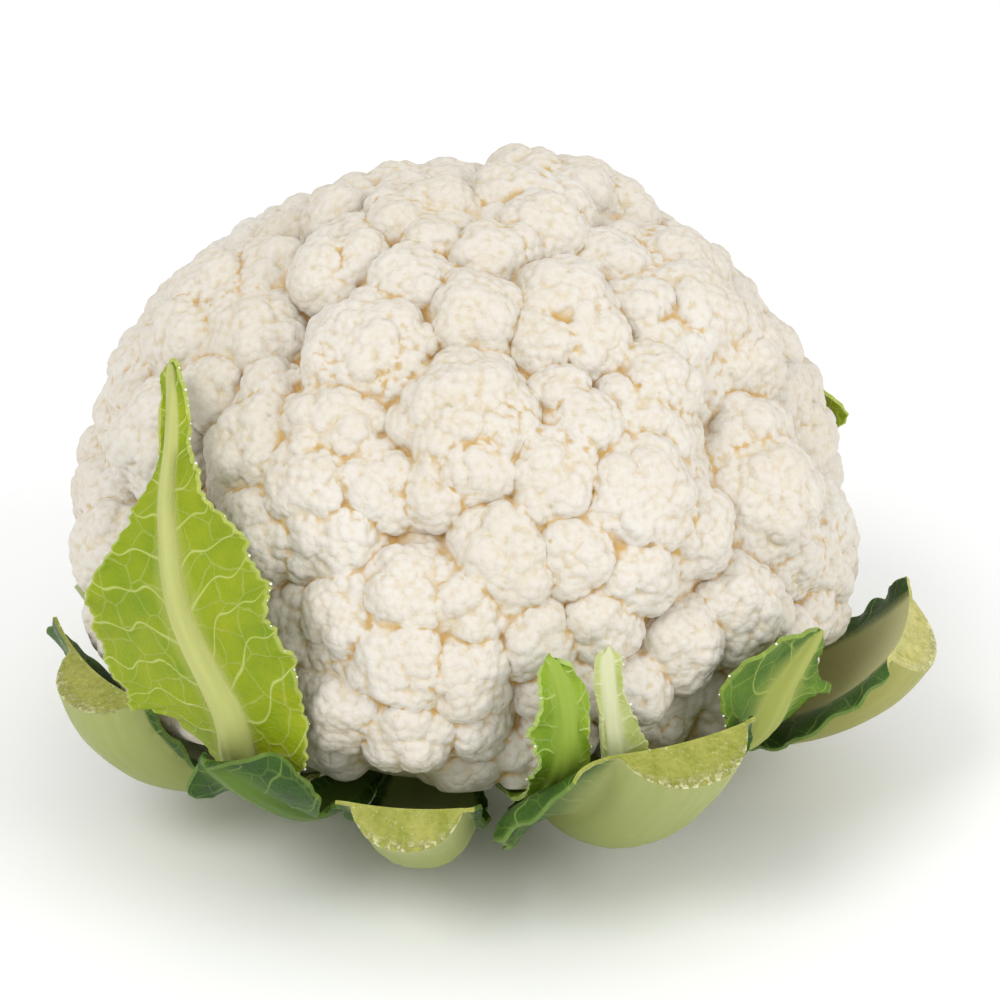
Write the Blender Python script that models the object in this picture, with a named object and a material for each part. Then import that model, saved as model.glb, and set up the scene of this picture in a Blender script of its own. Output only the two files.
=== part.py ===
"""A trimmed cauliflower that stands on its cut stem.

The curd is a head of florets. Clusters of florets are domes on the head, each floret is a ball on its
cluster's dome, and each floret carries smaller lobes. Its leaves were trimmed to thick bases, and a few
small inner leaves were left whole.

Lengths are in millimetres until a mesh is made. The frame's origin is the middle of the stem's cut face,
+Z is up, and the front, with the tall inner leaf on its left, faces -Y.
"""

import math

import bmesh
import bpy
import numpy as np
from mathutils import Vector

MM = 0.001
SEED = 11
SHARP_ANGLE = math.radians(50.0)

# The head: an ellipsoid that the tops of the florets reach.
HEAD_CENTRE = np.array([0.0, 0.0, 54.0])
HEAD_HALF_WIDTH = 88.0
HEAD_HALF_HEIGHT = 84.0
HEAD_HALF_AXES = np.array([HEAD_HALF_WIDTH, HEAD_HALF_WIDTH, HEAD_HALF_HEIGHT])
CORE_HALF_WIDTH = 75.0
CORE_RISE = 71.0
CORE_DROP = 27.0

# The front is described as it shows from this far above level and this far away.
FACING_RISE = math.radians(25.0)
FACING_DISTANCE = 950.0

# A cluster's dome: its roundness, how far wide ones stand out, and how deep its florets are set in it.
CLUSTER_ROUNDNESS = 1.25
CLUSTER_SWELL = 0.2
SMALL_CLUSTER = 12.0
DOME_INSET = 2.1

# A floret's ball sits below its top and leans from its dome's way out towards the head's.
FLORET_SINK = 0.86
FLORET_LEAN = 0.6

# The lobes on each floret.
LOBE_SPACING = 10.0
LOBE_RADIUS = 6.2
LOBE_SHARE = 0.68
LOBE_STANDS_OUT = 0.26
LOBE_SPREAD = math.radians(84.0)
GOLDEN_ANGLE = math.pi * (3.0 - math.sqrt(5.0))

# The clusters that cover the sides, the back and the crown.
LOWEST_FLORET = math.radians(-14.0)
FILL_RADII = (22.0, 17.0, 13.0, 10.0, 8.0)
FILL_TRIES = 420
FILL_SPACING = 0.79
FILL_SHRINK = (0.945, 1.0)
RING_COUNTS = (5, 6)
RING_OF_SIX = 18.0
RING_REACH = 0.66
RING_SIZE = (0.4, 0.48)
MIDDLE_SIZE = 0.5

FUSE_STEP = 1.1
CURD_TRIANGLES = 6840

# The body that holds the whole curd, so that what stays outside it is clear of the curd.
GUARD_HALF_WIDTH = 92.0
GUARD_RISE = 88.0
GUARD_DROP = 28.0

# Branches that carry the florets whose middles are lower than this.
BRANCHES_BELOW = 60.0
BRANCH_ROOT = 33.0
BRANCH_ROOT_REACH = 12.0
BRANCH_RADIUS = 7.0
BRANCH_TOP_SHARE = 0.72
BRANCH_SIDES = 20

STEM_SIDES = 28
STEM_TOP = 25.5
FLAT_UNDERSIDE = 36.0
LIFT_WITHIN = 86.0
STEM_PROFILE = (
    (0.0, 0.0),
    (18.6, 0.0),
    (19.4, 0.8),
    (20.0, 7.0),
    (20.8, 14.0),
    (21.4, 20.0),
    (20.6, 24.2),
    (19.2, STEM_TOP),
    (0.0, STEM_TOP),
)

# The curd's gap to the stem, and the leaves' gap to the curd.
TOUCH_GAP = 0.45
CLEARANCE = 0.6

# A leaf's blade, and the share of its grid that lies on its thick rib.
BLADE_THICKNESS = 0.9
RIB_SHARE = 0.42

# Each leaf: the middle of its inner surface as (azimuth, reach, height) from the stem outwards, then at
# even steps along it the rib's half width and thickness, the width of the wing on each side and how far
# each wing's edge is rolled away from the head, in degrees.
LEAVES = {
    "leaf_front_right": {
        "path": (
            (29, 22.4, 15), (28.5, 42, 15.5), (28, 62, 18),
            (28, 80, 25), (28, 92.5, 37), (28, 100, 47.5),
        ),
        "rib": (7, 9, 12, 14.5, 15.5, 15),
        "thick": (10, 10.5, 11, 10.4, 10.2, 10.5),
        "left": (2.2, 3, 7, 18, 28, 12),
        "right": (2.2, 3, 4, 5, 4, 3),
        "curl_left": (0, 0, 20, 70, 95, 60),
        "curl_right": (0, 0, 0, 10, 30, 20),
        "cup": 110.0,
        "ripple": 1.8,
        "ripples": 2.6,
        "phase": 0.4,
        "grid": (14, 12),
    },
    "leaf_right": {
        "path": (
            (78, 22.4, 15), (78, 42, 15.5), (78, 62, 18),
            (77, 80, 23.5), (76, 93, 32), (76, 101, 41),
        ),
        "rib": (7, 9, 12, 14.5, 16, 15),
        "thick": (10, 10.5, 11, 11, 10.5, 9.5),
        "left": (2.2, 3, 7, 15, 18, 6),
        "right": (2.2, 3, 5, 9, 12, 6),
        "curl_left": (0, 0, 10, 35, 50, 30),
        "curl_right": (0, 0, 0, 0, 10, 10),
        "cup": 80.0,
        "ripple": 1.8,
        "ripples": 2.2,
        "phase": 2.0,
        "grid": (14, 12),
    },
    "leaf_front": {
        "path": (
            (-9, 22.4, 14), (-8, 42, 14), (-6, 60, 15.5),
            (-6, 75, 20.5), (-6, 88, 30.2), (-6, 98, 37),
        ),
        "rib": (5, 8, 10, 11.5, 12, 11.5),
        "thick": (9, 9.5, 9.6, 9.4, 9, 9),
        "left": (2.2, 2.5, 2.5, 3, 4, 3),
        "right": (2.2, 2.5, 2.5, 2.5, 2.5, 2.5),
        "curl_left": (0, 0, 0, 10, 10, 0),
        "curl_right": (0, 0, 0, 10, 10, 0),
        "cup": 90.0,
        "ripple": 0.8,
        "ripples": 2.6,
        "phase": 1.0,
        "grid": (14, 12),
    },
    "leaf_left": {
        "path": (
            (-60, 22.4, 15), (-60, 42, 15.5), (-58, 62, 18),
            (-56, 78, 24.3), (-55, 88.5, 34), (-55, 92.5, 44),
        ),
        "rib": (7, 9, 12, 14, 15, 14.5),
        "thick": (10, 10, 10.4, 10, 9.5, 9.5),
        "left": (2.2, 3, 8, 16, 22, 14),
        "right": (2.2, 3, 3, 3.4, 3, 3),
        "curl_left": (0, 0, 10, 20, 20, 10),
        "curl_right": (0, 0, 10, 20, 20, 10),
        "cup": 72.0,
        "ripple": 1.6,
        "ripples": 2.4,
        "phase": 3.0,
        "grid": (14, 12),
    },
    "leaf_back_left": {
        "path": (
            (-112, 22.4, 15), (-112, 40, 15.5), (-112, 56, 17),
            (-112, 70, 20.5), (-112, 80, 26), (-112, 87, 33),
        ),
        "rib": (7, 9, 11, 14, 15, 15),
        "thick": (10, 11, 12, 12, 12, 11.5),
        "left": (2.2, 3, 6, 10, 8, 4),
        "right": (2.2, 3, 6, 12, 9, 4),
        "curl_left": (0, 0, 10, 20, 30, 10),
        "curl_right": (0, 0, 10, 30, 40, 10),
        "cup": 80.0,
        "ripple": 1.4,
        "ripples": 2.2,
        "phase": 4.1,
        "grid": (14, 12),
    },
    "leaf_back": {
        "path": (
            (-164, 22.4, 14), (-164, 42, 14.5), (-165, 62, 17),
            (-165, 80, 22.5), (-166, 94, 32), (-166, 101, 43),
        ),
        "rib": (7, 9, 12, 15, 16, 15.5),
        "thick": (10, 11, 12, 12.5, 12, 11),
        "left": (2.2, 3, 8, 18, 20, 8),
        "right": (2.2, 3, 6, 12, 14, 6),
        "curl_left": (0, 0, 10, 30, 30, 10),
        "curl_right": (0, 0, 10, 20, 20, 10),
        "cup": 76.0,
        "ripple": 1.7,
        "ripples": 2.4,
        "phase": 5.2,
        "grid": (14, 12),
    },
    "leaf_back_right": {
        "path": (
            (142, 22.4, 15), (142, 42, 15.5), (143, 62, 18),
            (144, 79, 24), (145, 90, 34), (146, 95, 45),
        ),
        "rib": (7, 9, 12, 15, 16, 15.5),
        "thick": (10, 11, 12, 13, 13, 12),
        "left": (2.2, 3, 4, 6, 7, 4),
        "right": (2.2, 3, 7, 16, 18, 7),
        "curl_left": (0, 0, 10, 20, 20, 10),
        "curl_right": (0, 0, 10, 30, 30, 10),
        "cup": 76.0,
        "ripple": 1.6,
        "ripples": 2.3,
        "phase": 0.9,
        "grid": (14, 12),
    },
    "leaf_inner_left": {
        "path": (
            (-40, 23.4, 23.8), (-37, 48, 24), (-32, 72, 26.6), (-29, 91, 38), (-29, 97, 54),
            (-35, 98, 74), (-40, 92, 90), (-45, 83, 102), (-53, 74, 114),
        ),
        "rib": (4, 5, 6, 5.4, 4.4, 3.4, 2.6, 2.0, 1.4),
        "thick": (3, 3, 3, 3.6, 4.0, 3.4, 2.6, 2.0, 1.4),
        "left": (2, 2, 2.5, 4, 20, 23, 10, 4, 4),
        "right": (2, 2, 2.4, 7, 13, 19, 14, 6, 4),
        "curl_left": (0, 0, 0, 0, 10, 20, 40, 50, 40),
        "curl_right": (0, 0, 0, 0, 5, 15, 40, 60, 50),
        "cup": 90.0,
        "ripple": 1.5,
        "ripples": 5.0,
        "phase": 0.0,
        "grid": (30, 12),
    },
    "leaf_inner_right": {
        "path": (
            (114, 23.4, 23.8), (114, 48, 24), (117, 72, 26.6), (120, 91, 38),
            (122, 96, 52), (122.5, 97, 62), (122.5, 95, 71),
        ),
        "rib": (4, 5, 5, 4.4, 3.4, 2.6, 1.6),
        "thick": (3, 3, 3, 3.2, 3, 2.4, 1.6),
        "left": (2, 2, 2.5, 4, 6, 7, 4),
        "right": (2, 2, 2.5, 5, 8, 8, 4),
        "curl_left": (0, 0, 0, 10, 20, 30, 30),
        "curl_right": (0, 0, 0, 10, 10, 20, 20),
        "cup": 90.0,
        "ripple": 1.4,
        "ripples": 4.0,
        "phase": 1.4,
        "grid": (20, 10),
    },
    "leaf_inner_small": {
        "path": (
            (50, 23.4, 23.8), (49, 46, 24), (46, 72, 26.8),
            (44.5, 90, 38), (46, 95.5, 50.5), (51, 98, 60.5),
        ),
        "rib": (3.4, 4, 5, 5.4, 3.6, 1.6),
        "thick": (3, 3, 2.8, 3, 2.8, 1.4),
        "left": (1.6, 2, 3, 5, 14, 4),
        "right": (1.6, 2, 3, 9, 12, 4),
        "curl_left": (0, 0, 0, 0, 10, 20),
        "curl_right": (0, 0, 0, 10, 20, 20),
        "cup": 100.0,
        "ripple": 1.5,
        "ripples": 3.4,
        "phase": 2.2,
        "grid": (18, 10),
    },
    "leaf_tiny_centre": {
        "path": (
            (9, 23.4, 23.8), (10, 46, 24), (11.5, 72, 26.8),
            (13.4, 91.5, 40), (13.8, 95.5, 55), (12, 96, 70),
        ),
        "rib": (2, 2.6, 3, 2.8, 2.0, 1.2),
        "thick": (2.6, 2.4, 1.8, 1.8, 1.6, 1.2),
        "left": (1.5, 1.8, 2, 3, 6, 2),
        "right": (1.5, 1.8, 1.8, 2, 2.4, 2),
        "curl_left": (0, 0, 0, 20, 60, 50),
        "curl_right": (0, 0, 0, 0, 0, 0),
        "cup": 92.0,
        "ripple": 1.2,
        "ripples": 5.0,
        "phase": 0.7,
        "grid": (20, 8),
    },
    "leaf_tiny_pale": {
        "path": (
            (26.5, 23.4, 23.8), (25.5, 46, 24), (23, 72, 26.8),
            (20.8, 91, 40), (19.4, 94.8, 55), (18.8, 94.6, 70),
        ),
        "rib": (1.6, 1.8, 2, 1.8, 1.6, 1.2),
        "thick": (2.4, 2.2, 1.8, 1.8, 1.6, 1.2),
        "left": (1.4, 1.4, 1.4, 1.0, 1.0, 1.2),
        "right": (1.4, 1.8, 3, 7, 2.4, 1.6),
        "curl_left": (0, 0, 0, 0, 0, 0),
        "curl_right": (0, 0, 0, 20, 20, 20),
        "cup": 92.0,
        "ripple": 0.5,
        "ripples": 3.0,
        "phase": 1.9,
        "grid": (14, 6),
    },
    "leaf_low_left": {
        "path": (
            (-13, 23.4, 23.8), (-18, 48, 24), (-20.5, 72, 24),
            (-22.5, 85.5, 27), (-26, 97, 36), (-30, 103, 44),
        ),
        "rib": (3, 3, 3.4, 4, 3.6, 2.4),
        "thick": (2.6, 2.6, 2.6, 2.8, 2.6, 1.8),
        "left": (1.6, 2, 2, 2.4, 8, 7),
        "right": (1.6, 2, 2, 3, 13, 5),
        "curl_left": (0, 0, 0, 0, 20, 60),
        "curl_right": (0, 0, 0, 0, -20, 20),
        "cup": 100.0,
        "ripple": 2.4,
        "ripples": 3.2,
        "phase": 4.4,
        "grid": (16, 10),
    },
}

# Each cluster of the front: (across, up, radius), then (across, up, radius) of each of its florets.
FRONT_CLUSTERS = (
    ((16, 76, 17), ((12, 80, 11), (23, 77, 10), (20, 71, 10))),
    ((-8, 73, 16), ((-4, 78, 10), (-17, 77, 8), (-16, 71, 8), (-5, 66, 7))),
    ((9, 66, 9), ((13, 67, 8), (6, 65, 8))),
    ((-26, 64, 13), ((-27, 72, 9), (-22, 63, 7), (-31, 60, 9))),
    ((-11, 59, 10), ((-11, 59, 10),)),
    ((-21, 44, 16), ((-21, 44, 15), (-28, 37, 9), (-14, 38, 8))),
    ((4, 52, 11), ((4, 52, 11),)),
    ((26, 51, 15), ((26, 56, 12), (19, 43, 8), (33, 44, 9))),
    ((54, 54, 25), ((35, 64, 9), (39, 72, 8), (52, 63, 13), (57, 52, 12), (42, 52, 8), (49, 41, 10))),
    ((66, 43, 14), ((66, 45, 13),)),
    ((24, 33, 6), ((24, 33, 6),)),
    ((2, 23, 20), ((2, 30, 16), (-6, 9, 9), (5, 15, 9), (11, 24, 8))),
    ((-57, 52, 21), ((-42, 62, 10), (-58, 58, 14), (-65, 45, 10), (-47, 43, 13))),
    ((-72, 23, 13), ((-72, 23, 13),)),
    (
        (-36, 11, 25),
        ((-49, 21, 14), (-29, 26, 12), (-18, 11, 10), (-34, 11, 11), (-46, -1, 12), (-28, -3, 12)),
    ),
    ((-82, -12, 17), ((-83, -3, 12), (-79, -25, 12))),
    (
        (-14, -31, 29),
        (
            (-39, -20, 9),
            (-27, -18, 10),
            (-12, -14, 11),
            (3, -16, 11),
            (-13, -30, 11),
            (-28, -41, 11),
            (2, -33, 11),
            (-11, -47, 12),
            (5, -46, 8),
        ),
    ),
    ((12, -6, 13), ((12, -6, 13),)),
    (
        (38, 7, 28),
        ((21, 13, 12), (29, 25, 9), (45, 29, 15), (27, -6, 9), (44, 9, 14), (42, -11, 10), (57, 0, 11)),
    ),
    ((33, -21, 10), ((33, -21, 10),)),
    ((76, 8, 20), ((68, 26, 12), (76, 9, 13), (81, -10, 12))),
    ((68, -20, 14), ((66, -19, 12), (76, -25, 10))),
    ((53, -27, 10), ((53, -27, 10),)),
    ((19, -25, 9), ((19, -25, 9),)),
    ((26, -37, 9), ((26, -37, 9),)),
    ((41, -38, 9), ((41, -38, 9),)),
)


def unit(vectors):
    """Vectors of length 1 along these."""
    vectors = np.asarray(vectors, float)
    return vectors / np.maximum(np.linalg.norm(vectors, axis=-1, keepdims=True), 1e-9)


def round_stem(azimuth, reach, height):
    """The point at this azimuth in degrees, 0 at the front and 90 on the right, and this far out and up."""
    turn = math.radians(azimuth)
    return np.array([reach * math.sin(turn), -reach * math.cos(turn), height])


def facing_ray(across, up):
    """The eye, and the way from it to what shows this far right of and above the head's middle."""
    back = np.array([0.0, -math.cos(FACING_RISE), math.sin(FACING_RISE)])
    upward = np.array([0.0, math.sin(FACING_RISE), math.cos(FACING_RISE)])
    eye = HEAD_CENTRE + back * FACING_DISTANCE
    target = HEAD_CENTRE + np.array([across, 0.0, 0.0]) + upward * up
    return eye, unit(target - eye)


def first_hit(start, way, centre, half_axes):
    """Where a ray first meets an ellipsoid, or the ellipsoid's point nearest to a ray that misses it."""
    origin = (start - centre) / half_axes
    slope = way / half_axes
    a, b, c = slope @ slope, origin @ slope, origin @ origin - 1.0
    inside = b * b - a * c
    if inside >= 0.0:
        return start + way * ((-b - math.sqrt(inside)) / a)
    return centre + unit(origin - slope * (b / a)) * half_axes


def on_head(across, up):
    """The point of the head that shows there from the front."""
    start, way = facing_ray(across, up)
    return first_hit(start, way, HEAD_CENTRE, HEAD_HALF_AXES)


def head_normal(point):
    """The way out of the head at a point of its surface."""
    return unit((point - HEAD_CENTRE) / HEAD_HALF_AXES**2)


def cluster_dome(top, radius):
    """(centre, radius) of the ball whose cap is the dome of a cluster. Wide clusters stand out further."""
    dome_radius = radius * CLUSTER_ROUNDNESS
    swell = CLUSTER_SWELL * (radius - SMALL_CLUSTER)
    return top + head_normal(top) * (swell - dome_radius), dome_radius


def floret_ball(top, dome_centre, radius):
    """(centre, radius, way out) of a floret whose top is at this point of its cluster's dome."""
    out = unit(unit(top - dome_centre) + FLORET_LEAN * head_normal(top))
    return top - out * radius * FLORET_SINK, radius, out


def front_clusters():
    """The clusters of the front, each (dome, florets), and the tops and radii of the clusters."""
    clusters, tops = [], []
    for (across, up, radius), members in FRONT_CLUSTERS:
        top = on_head(across, up)
        centre, dome_radius = cluster_dome(top, radius)
        florets = []
        for member_across, member_up, member_radius in members:
            start, way = facing_ray(member_across, member_up)
            florets.append(
                floret_ball(first_hit(start, way, centre, np.full(3, dome_radius)), centre, member_radius)
            )
        clusters.append(((centre, dome_radius), florets))
        tops.append((top, radius))
    return clusters, tops


def fill_clusters(tops, rng):
    """Clusters that cover the rest of the head, the largest that fit first, on a golden-angle spiral."""
    tops = list(tops)
    clusters = []
    for radius in FILL_RADII:
        for step in range(FILL_TRIES):
            height = 1.0 - (step + 0.5) / FILL_TRIES * (1.0 - math.sin(LOWEST_FLORET))
            turn = step * GOLDEN_ANGLE
            level = math.sqrt(1.0 - height * height)
            way = np.array([level * math.cos(turn), level * math.sin(turn), height])
            top = HEAD_CENTRE + way * HEAD_HALF_AXES
            if any(np.linalg.norm(top - other) < FILL_SPACING * (radius + size) for other, size in tops):
                continue
            tops.append((top, radius))
            sunk = HEAD_CENTRE + (top - HEAD_CENTRE) * rng.uniform(*FILL_SHRINK)
            clusters.append(fill_cluster(sunk, radius, rng))
    return clusters


def fill_cluster(top, radius, rng):
    """A cluster, as (dome, florets), with one floret in the middle and a ring of florets round it."""
    centre, dome_radius = cluster_dome(top, radius)
    normal = unit(top - centre)
    if radius < SMALL_CLUSTER:
        return (centre, dome_radius), [floret_ball(top, centre, radius)]
    florets = [floret_ball(top, centre, MIDDLE_SIZE * radius)]
    side = unit(np.cross(normal, [0.0, 0.0, 1.0]) + 1e-6)
    across = np.cross(normal, side)
    count = RING_COUNTS[radius >= RING_OF_SIX]
    start = rng.uniform(0.0, math.tau)
    for k in range(count):
        turn = start + math.tau * (k + rng.uniform(-0.12, 0.12)) / count
        lean = math.asin(RING_REACH / CLUSTER_ROUNDNESS) * rng.uniform(0.92, 1.08)
        way = normal * math.cos(lean) + (side * math.cos(turn) + across * math.sin(turn)) * math.sin(lean)
        size = radius * rng.uniform(*RING_SIZE)
        florets.append(floret_ball(centre + way * dome_radius, centre, size))
    return (centre, dome_radius), florets


def lobe_balls(centre, radius, out, rng):
    """(centre, radius) of each lobe on a floret, spread evenly round its way out."""
    cap = math.tau * radius**2 * (1.0 - math.cos(LOBE_SPREAD))
    count = max(3, round(cap / (0.87 * LOBE_SPACING**2)))
    side = unit(np.cross(out, [0.3, 0.2, 1.0]))
    across = np.cross(out, side)
    start = rng.uniform(0.0, math.tau)
    lobes = []
    for k in range(count):
        rise = 1.0 - (k + 0.5) / count * (1.0 - math.cos(LOBE_SPREAD))
        turn = start + k * GOLDEN_ANGLE + rng.uniform(-0.2, 0.2)
        level = math.sqrt(1.0 - rise * rise)
        way = out * rise + (side * math.cos(turn) + across * math.sin(turn)) * level
        lobe_radius = min(LOBE_RADIUS, LOBE_SHARE * radius) * rng.uniform(0.86, 1.14)
        lobes.append((centre + way * (radius - (1.0 - LOBE_STANDS_OUT) * lobe_radius), lobe_radius))
    return lobes


def curd_balls():
    """The (centre, radius) of every floret and dome, and of every lobe."""
    rng = np.random.default_rng(SEED)
    clusters, tops = front_clusters()
    clusters += fill_clusters(tops, rng)
    florets, lobes = [], []
    for (dome_centre, dome_radius), members in clusters:
        if len(members) > 1:
            florets.append((dome_centre, dome_radius - DOME_INSET))
        for centre, radius, out in members:
            florets.append((centre, radius))
            lobes += lobe_balls(centre, radius, out, rng)
    return florets, lobes


def guard_reach(ways):
    """How far the body that holds the whole curd reaches from the head's middle along each way."""
    level = np.hypot(ways[:, 0], ways[:, 1])
    top = 1.0 / np.sqrt((level / GUARD_HALF_WIDTH) ** 2 + (ways[:, 2] / GUARD_RISE) ** 2)
    bottom = ((level / GUARD_HALF_WIDTH) ** 4 + (np.abs(ways[:, 2]) / GUARD_DROP) ** 4) ** -0.25
    return np.where(ways[:, 2] > 0.0, top, bottom)


def kept_inside(points):
    """Points outside the guard body brought back to it: lifted from below, drawn in from elsewhere."""
    level = np.hypot(points[:, 0], points[:, 1])
    part = np.minimum(level / GUARD_HALF_WIDTH, 1.0)
    floor = HEAD_CENTRE[2] - GUARD_DROP * (1.0 - part**4) ** 0.25
    lifted = points.copy()
    lifted[:, 2] = np.where(level < LIFT_WITHIN, np.maximum(points[:, 2], floor), points[:, 2])
    under = level < FLAT_UNDERSIDE
    lifted[under, 2] = np.maximum(lifted[under, 2], STEM_TOP + TOUCH_GAP)
    offsets = lifted - HEAD_CENTRE
    distance = np.linalg.norm(offsets, axis=1, keepdims=True)
    ways = offsets / np.maximum(distance, 1e-6)
    return HEAD_CENTRE + ways * np.minimum(distance, guard_reach(ways)[:, None])


def kept_outside(points, gap):
    """Points that lie nearer to the guard body than this gap, moved out from the middle to it."""
    offsets = points - HEAD_CENTRE
    distance = np.linalg.norm(offsets, axis=-1, keepdims=True)
    ways = offsets / np.maximum(distance, 1e-6)
    limit = guard_reach(ways.reshape(-1, 3)).reshape(distance.shape) + gap
    return HEAD_CENTRE + ways * np.maximum(distance, limit)


def tool_mesh(operator, **settings):
    """The corners and the triangles of one shape made by a mesh tool."""
    mesh = bmesh.new()
    operator(mesh, **settings)
    bmesh.ops.triangulate(mesh, faces=mesh.faces)
    mesh.verts.index_update()
    corners = np.array([vertex.co for vertex in mesh.verts])
    faces = np.array([[vertex.index for vertex in face.verts] for face in mesh.faces])
    mesh.free()
    return corners, faces


def balls_mesh(balls, subdivisions):
    """Corners and triangles of these balls, each (centre, radius)."""
    corners, faces = tool_mesh(bmesh.ops.create_icosphere, subdivisions=subdivisions, radius=1.0)
    centres = np.array([centre for centre, _ in balls])
    radii = np.array([radius for _, radius in balls])
    places = centres[:, None, :] + corners[None, :, :] * radii[:, None, None]
    numbers = faces[None, :, :] + np.arange(len(balls))[:, None, None] * len(corners)
    return places.reshape(-1, 3), numbers.reshape(-1, 3)


def branches_mesh(florets):
    """Corners and triangles of the tapered branches that carry the lowest florets."""
    shapes = []
    for centre, radius in florets:
        if centre[2] > BRANCHES_BELOW:
            continue
        root = np.array([0.0, 0.0, BRANCH_ROOT]) + unit(centre * [1, 1, 0]) * BRANCH_ROOT_REACH
        along = Vector(centre - root)
        turned = np.array(along.to_track_quat("Z", "Y").to_matrix())
        corners, faces = tool_mesh(
            bmesh.ops.create_cone,
            cap_ends=True,
            segments=BRANCH_SIDES,
            radius1=BRANCH_RADIUS,
            radius2=BRANCH_TOP_SHARE * radius,
            depth=along.length,
        )
        shapes.append((corners @ turned.T + 0.5 * (root + centre), faces))
    return shapes


def core_mesh():
    """Corners and triangles of the curd's core, which rises further than it drops."""
    corners, faces = tool_mesh(bmesh.ops.create_icosphere, subdivisions=5, radius=1.0)
    rise = np.where(corners[:, 2] > 0.0, CORE_RISE, CORE_DROP)
    scale = np.column_stack([np.full((len(corners), 2), CORE_HALF_WIDTH), rise])
    return HEAD_CENTRE + corners * scale, faces


def joined_mesh(name, shapes):
    """One mesh of several shapes, each (corners, triangles)."""
    count = 0
    all_faces = []
    for corners, faces in shapes:
        all_faces.append(faces + count)
        count += len(corners)
    data = bpy.data.meshes.new(name)
    data.from_pydata(np.vstack([corners for corners, _ in shapes]) * MM, [], np.vstack(all_faces))
    return data


def largest_body(mesh):
    """Removes every body of the mesh but the one with the most corners."""
    mesh.verts.ensure_lookup_table()
    found = [-1] * len(mesh.verts)
    bodies = []
    for first in mesh.verts:
        if found[first.index] >= 0:
            continue
        body, waiting = [first], [first]
        found[first.index] = len(bodies)
        while waiting:
            for edge in waiting.pop().link_edges:
                for other in edge.verts:
                    if found[other.index] < 0:
                        found[other.index] = len(bodies)
                        body.append(other)
                        waiting.append(other)
        bodies.append(body)
    bodies.sort(key=len)
    bmesh.ops.delete(mesh, geom=[vertex for body in bodies[:-1] for vertex in body], context="VERTS")


def curd_mesh(florets, lobes):
    """All the balls and branches fused into one skin, thinned to the curd's share of triangles."""
    shapes = [balls_mesh(florets, 3), balls_mesh(lobes, 2), core_mesh()] + branches_mesh(florets)
    data = joined_mesh("fused", shapes)
    fused = shaped(data, REMESH={"mode": "VOXEL", "voxel_size": FUSE_STEP * MM}, SMOOTH={"iterations": 2})
    mesh = bmesh.new()
    mesh.from_mesh(fused)
    largest_body(mesh)
    places = kept_inside(np.array([vertex.co for vertex in mesh.verts]) / MM)
    for vertex, place in zip(mesh.verts, places):
        vertex.co = Vector(place * MM)
    bmesh.ops.triangulate(mesh, faces=mesh.faces)
    mesh.to_mesh(fused)
    share = CURD_TRIANGLES / len(fused.polygons)
    thinned = shaped(fused, DECIMATE={"ratio": share, "use_collapse_triangulate": True})
    mesh.clear()
    mesh.from_mesh(thinned)
    bmesh.ops.triangulate(mesh, faces=mesh.faces)
    bmesh.ops.recalc_face_normals(mesh, faces=mesh.faces)
    return mesh


def shaped(data, **steps):
    """A mesh as these modifiers leave it."""
    body = bpy.data.objects.new(data.name, data)
    bpy.context.scene.collection.objects.link(body)
    for kind, settings in steps.items():
        modifier = body.modifiers.new(kind.lower(), kind)
        for name, value in settings.items():
            setattr(modifier, name, value)
    depsgraph = bpy.context.evaluated_depsgraph_get()
    result = bpy.data.meshes.new_from_object(body.evaluated_get(depsgraph))
    bpy.data.objects.remove(body)
    return result


def smooth_values(values, along):
    """Values at even steps from 0 to 1, followed by a curve that passes through each of them."""
    values = np.asarray(values, float)
    values = values.reshape(len(values), -1)
    place = np.clip(np.asarray(along, float), 0.0, 1.0) * (len(values) - 1)
    first = np.minimum(place.astype(int), len(values) - 2)
    part = (place - first)[:, None]
    before = values[np.maximum(first - 1, 0)]
    start, end = values[first], values[first + 1]
    after = values[np.minimum(first + 2, len(values) - 1)]
    bend = (
        2.0 * start
        + (end - before) * part
        + (2.0 * before - 5.0 * start + 4.0 * end - after) * part**2
        + (3.0 * start - before - 3.0 * end + after) * part**3
    )
    return 0.5 * bend


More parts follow.
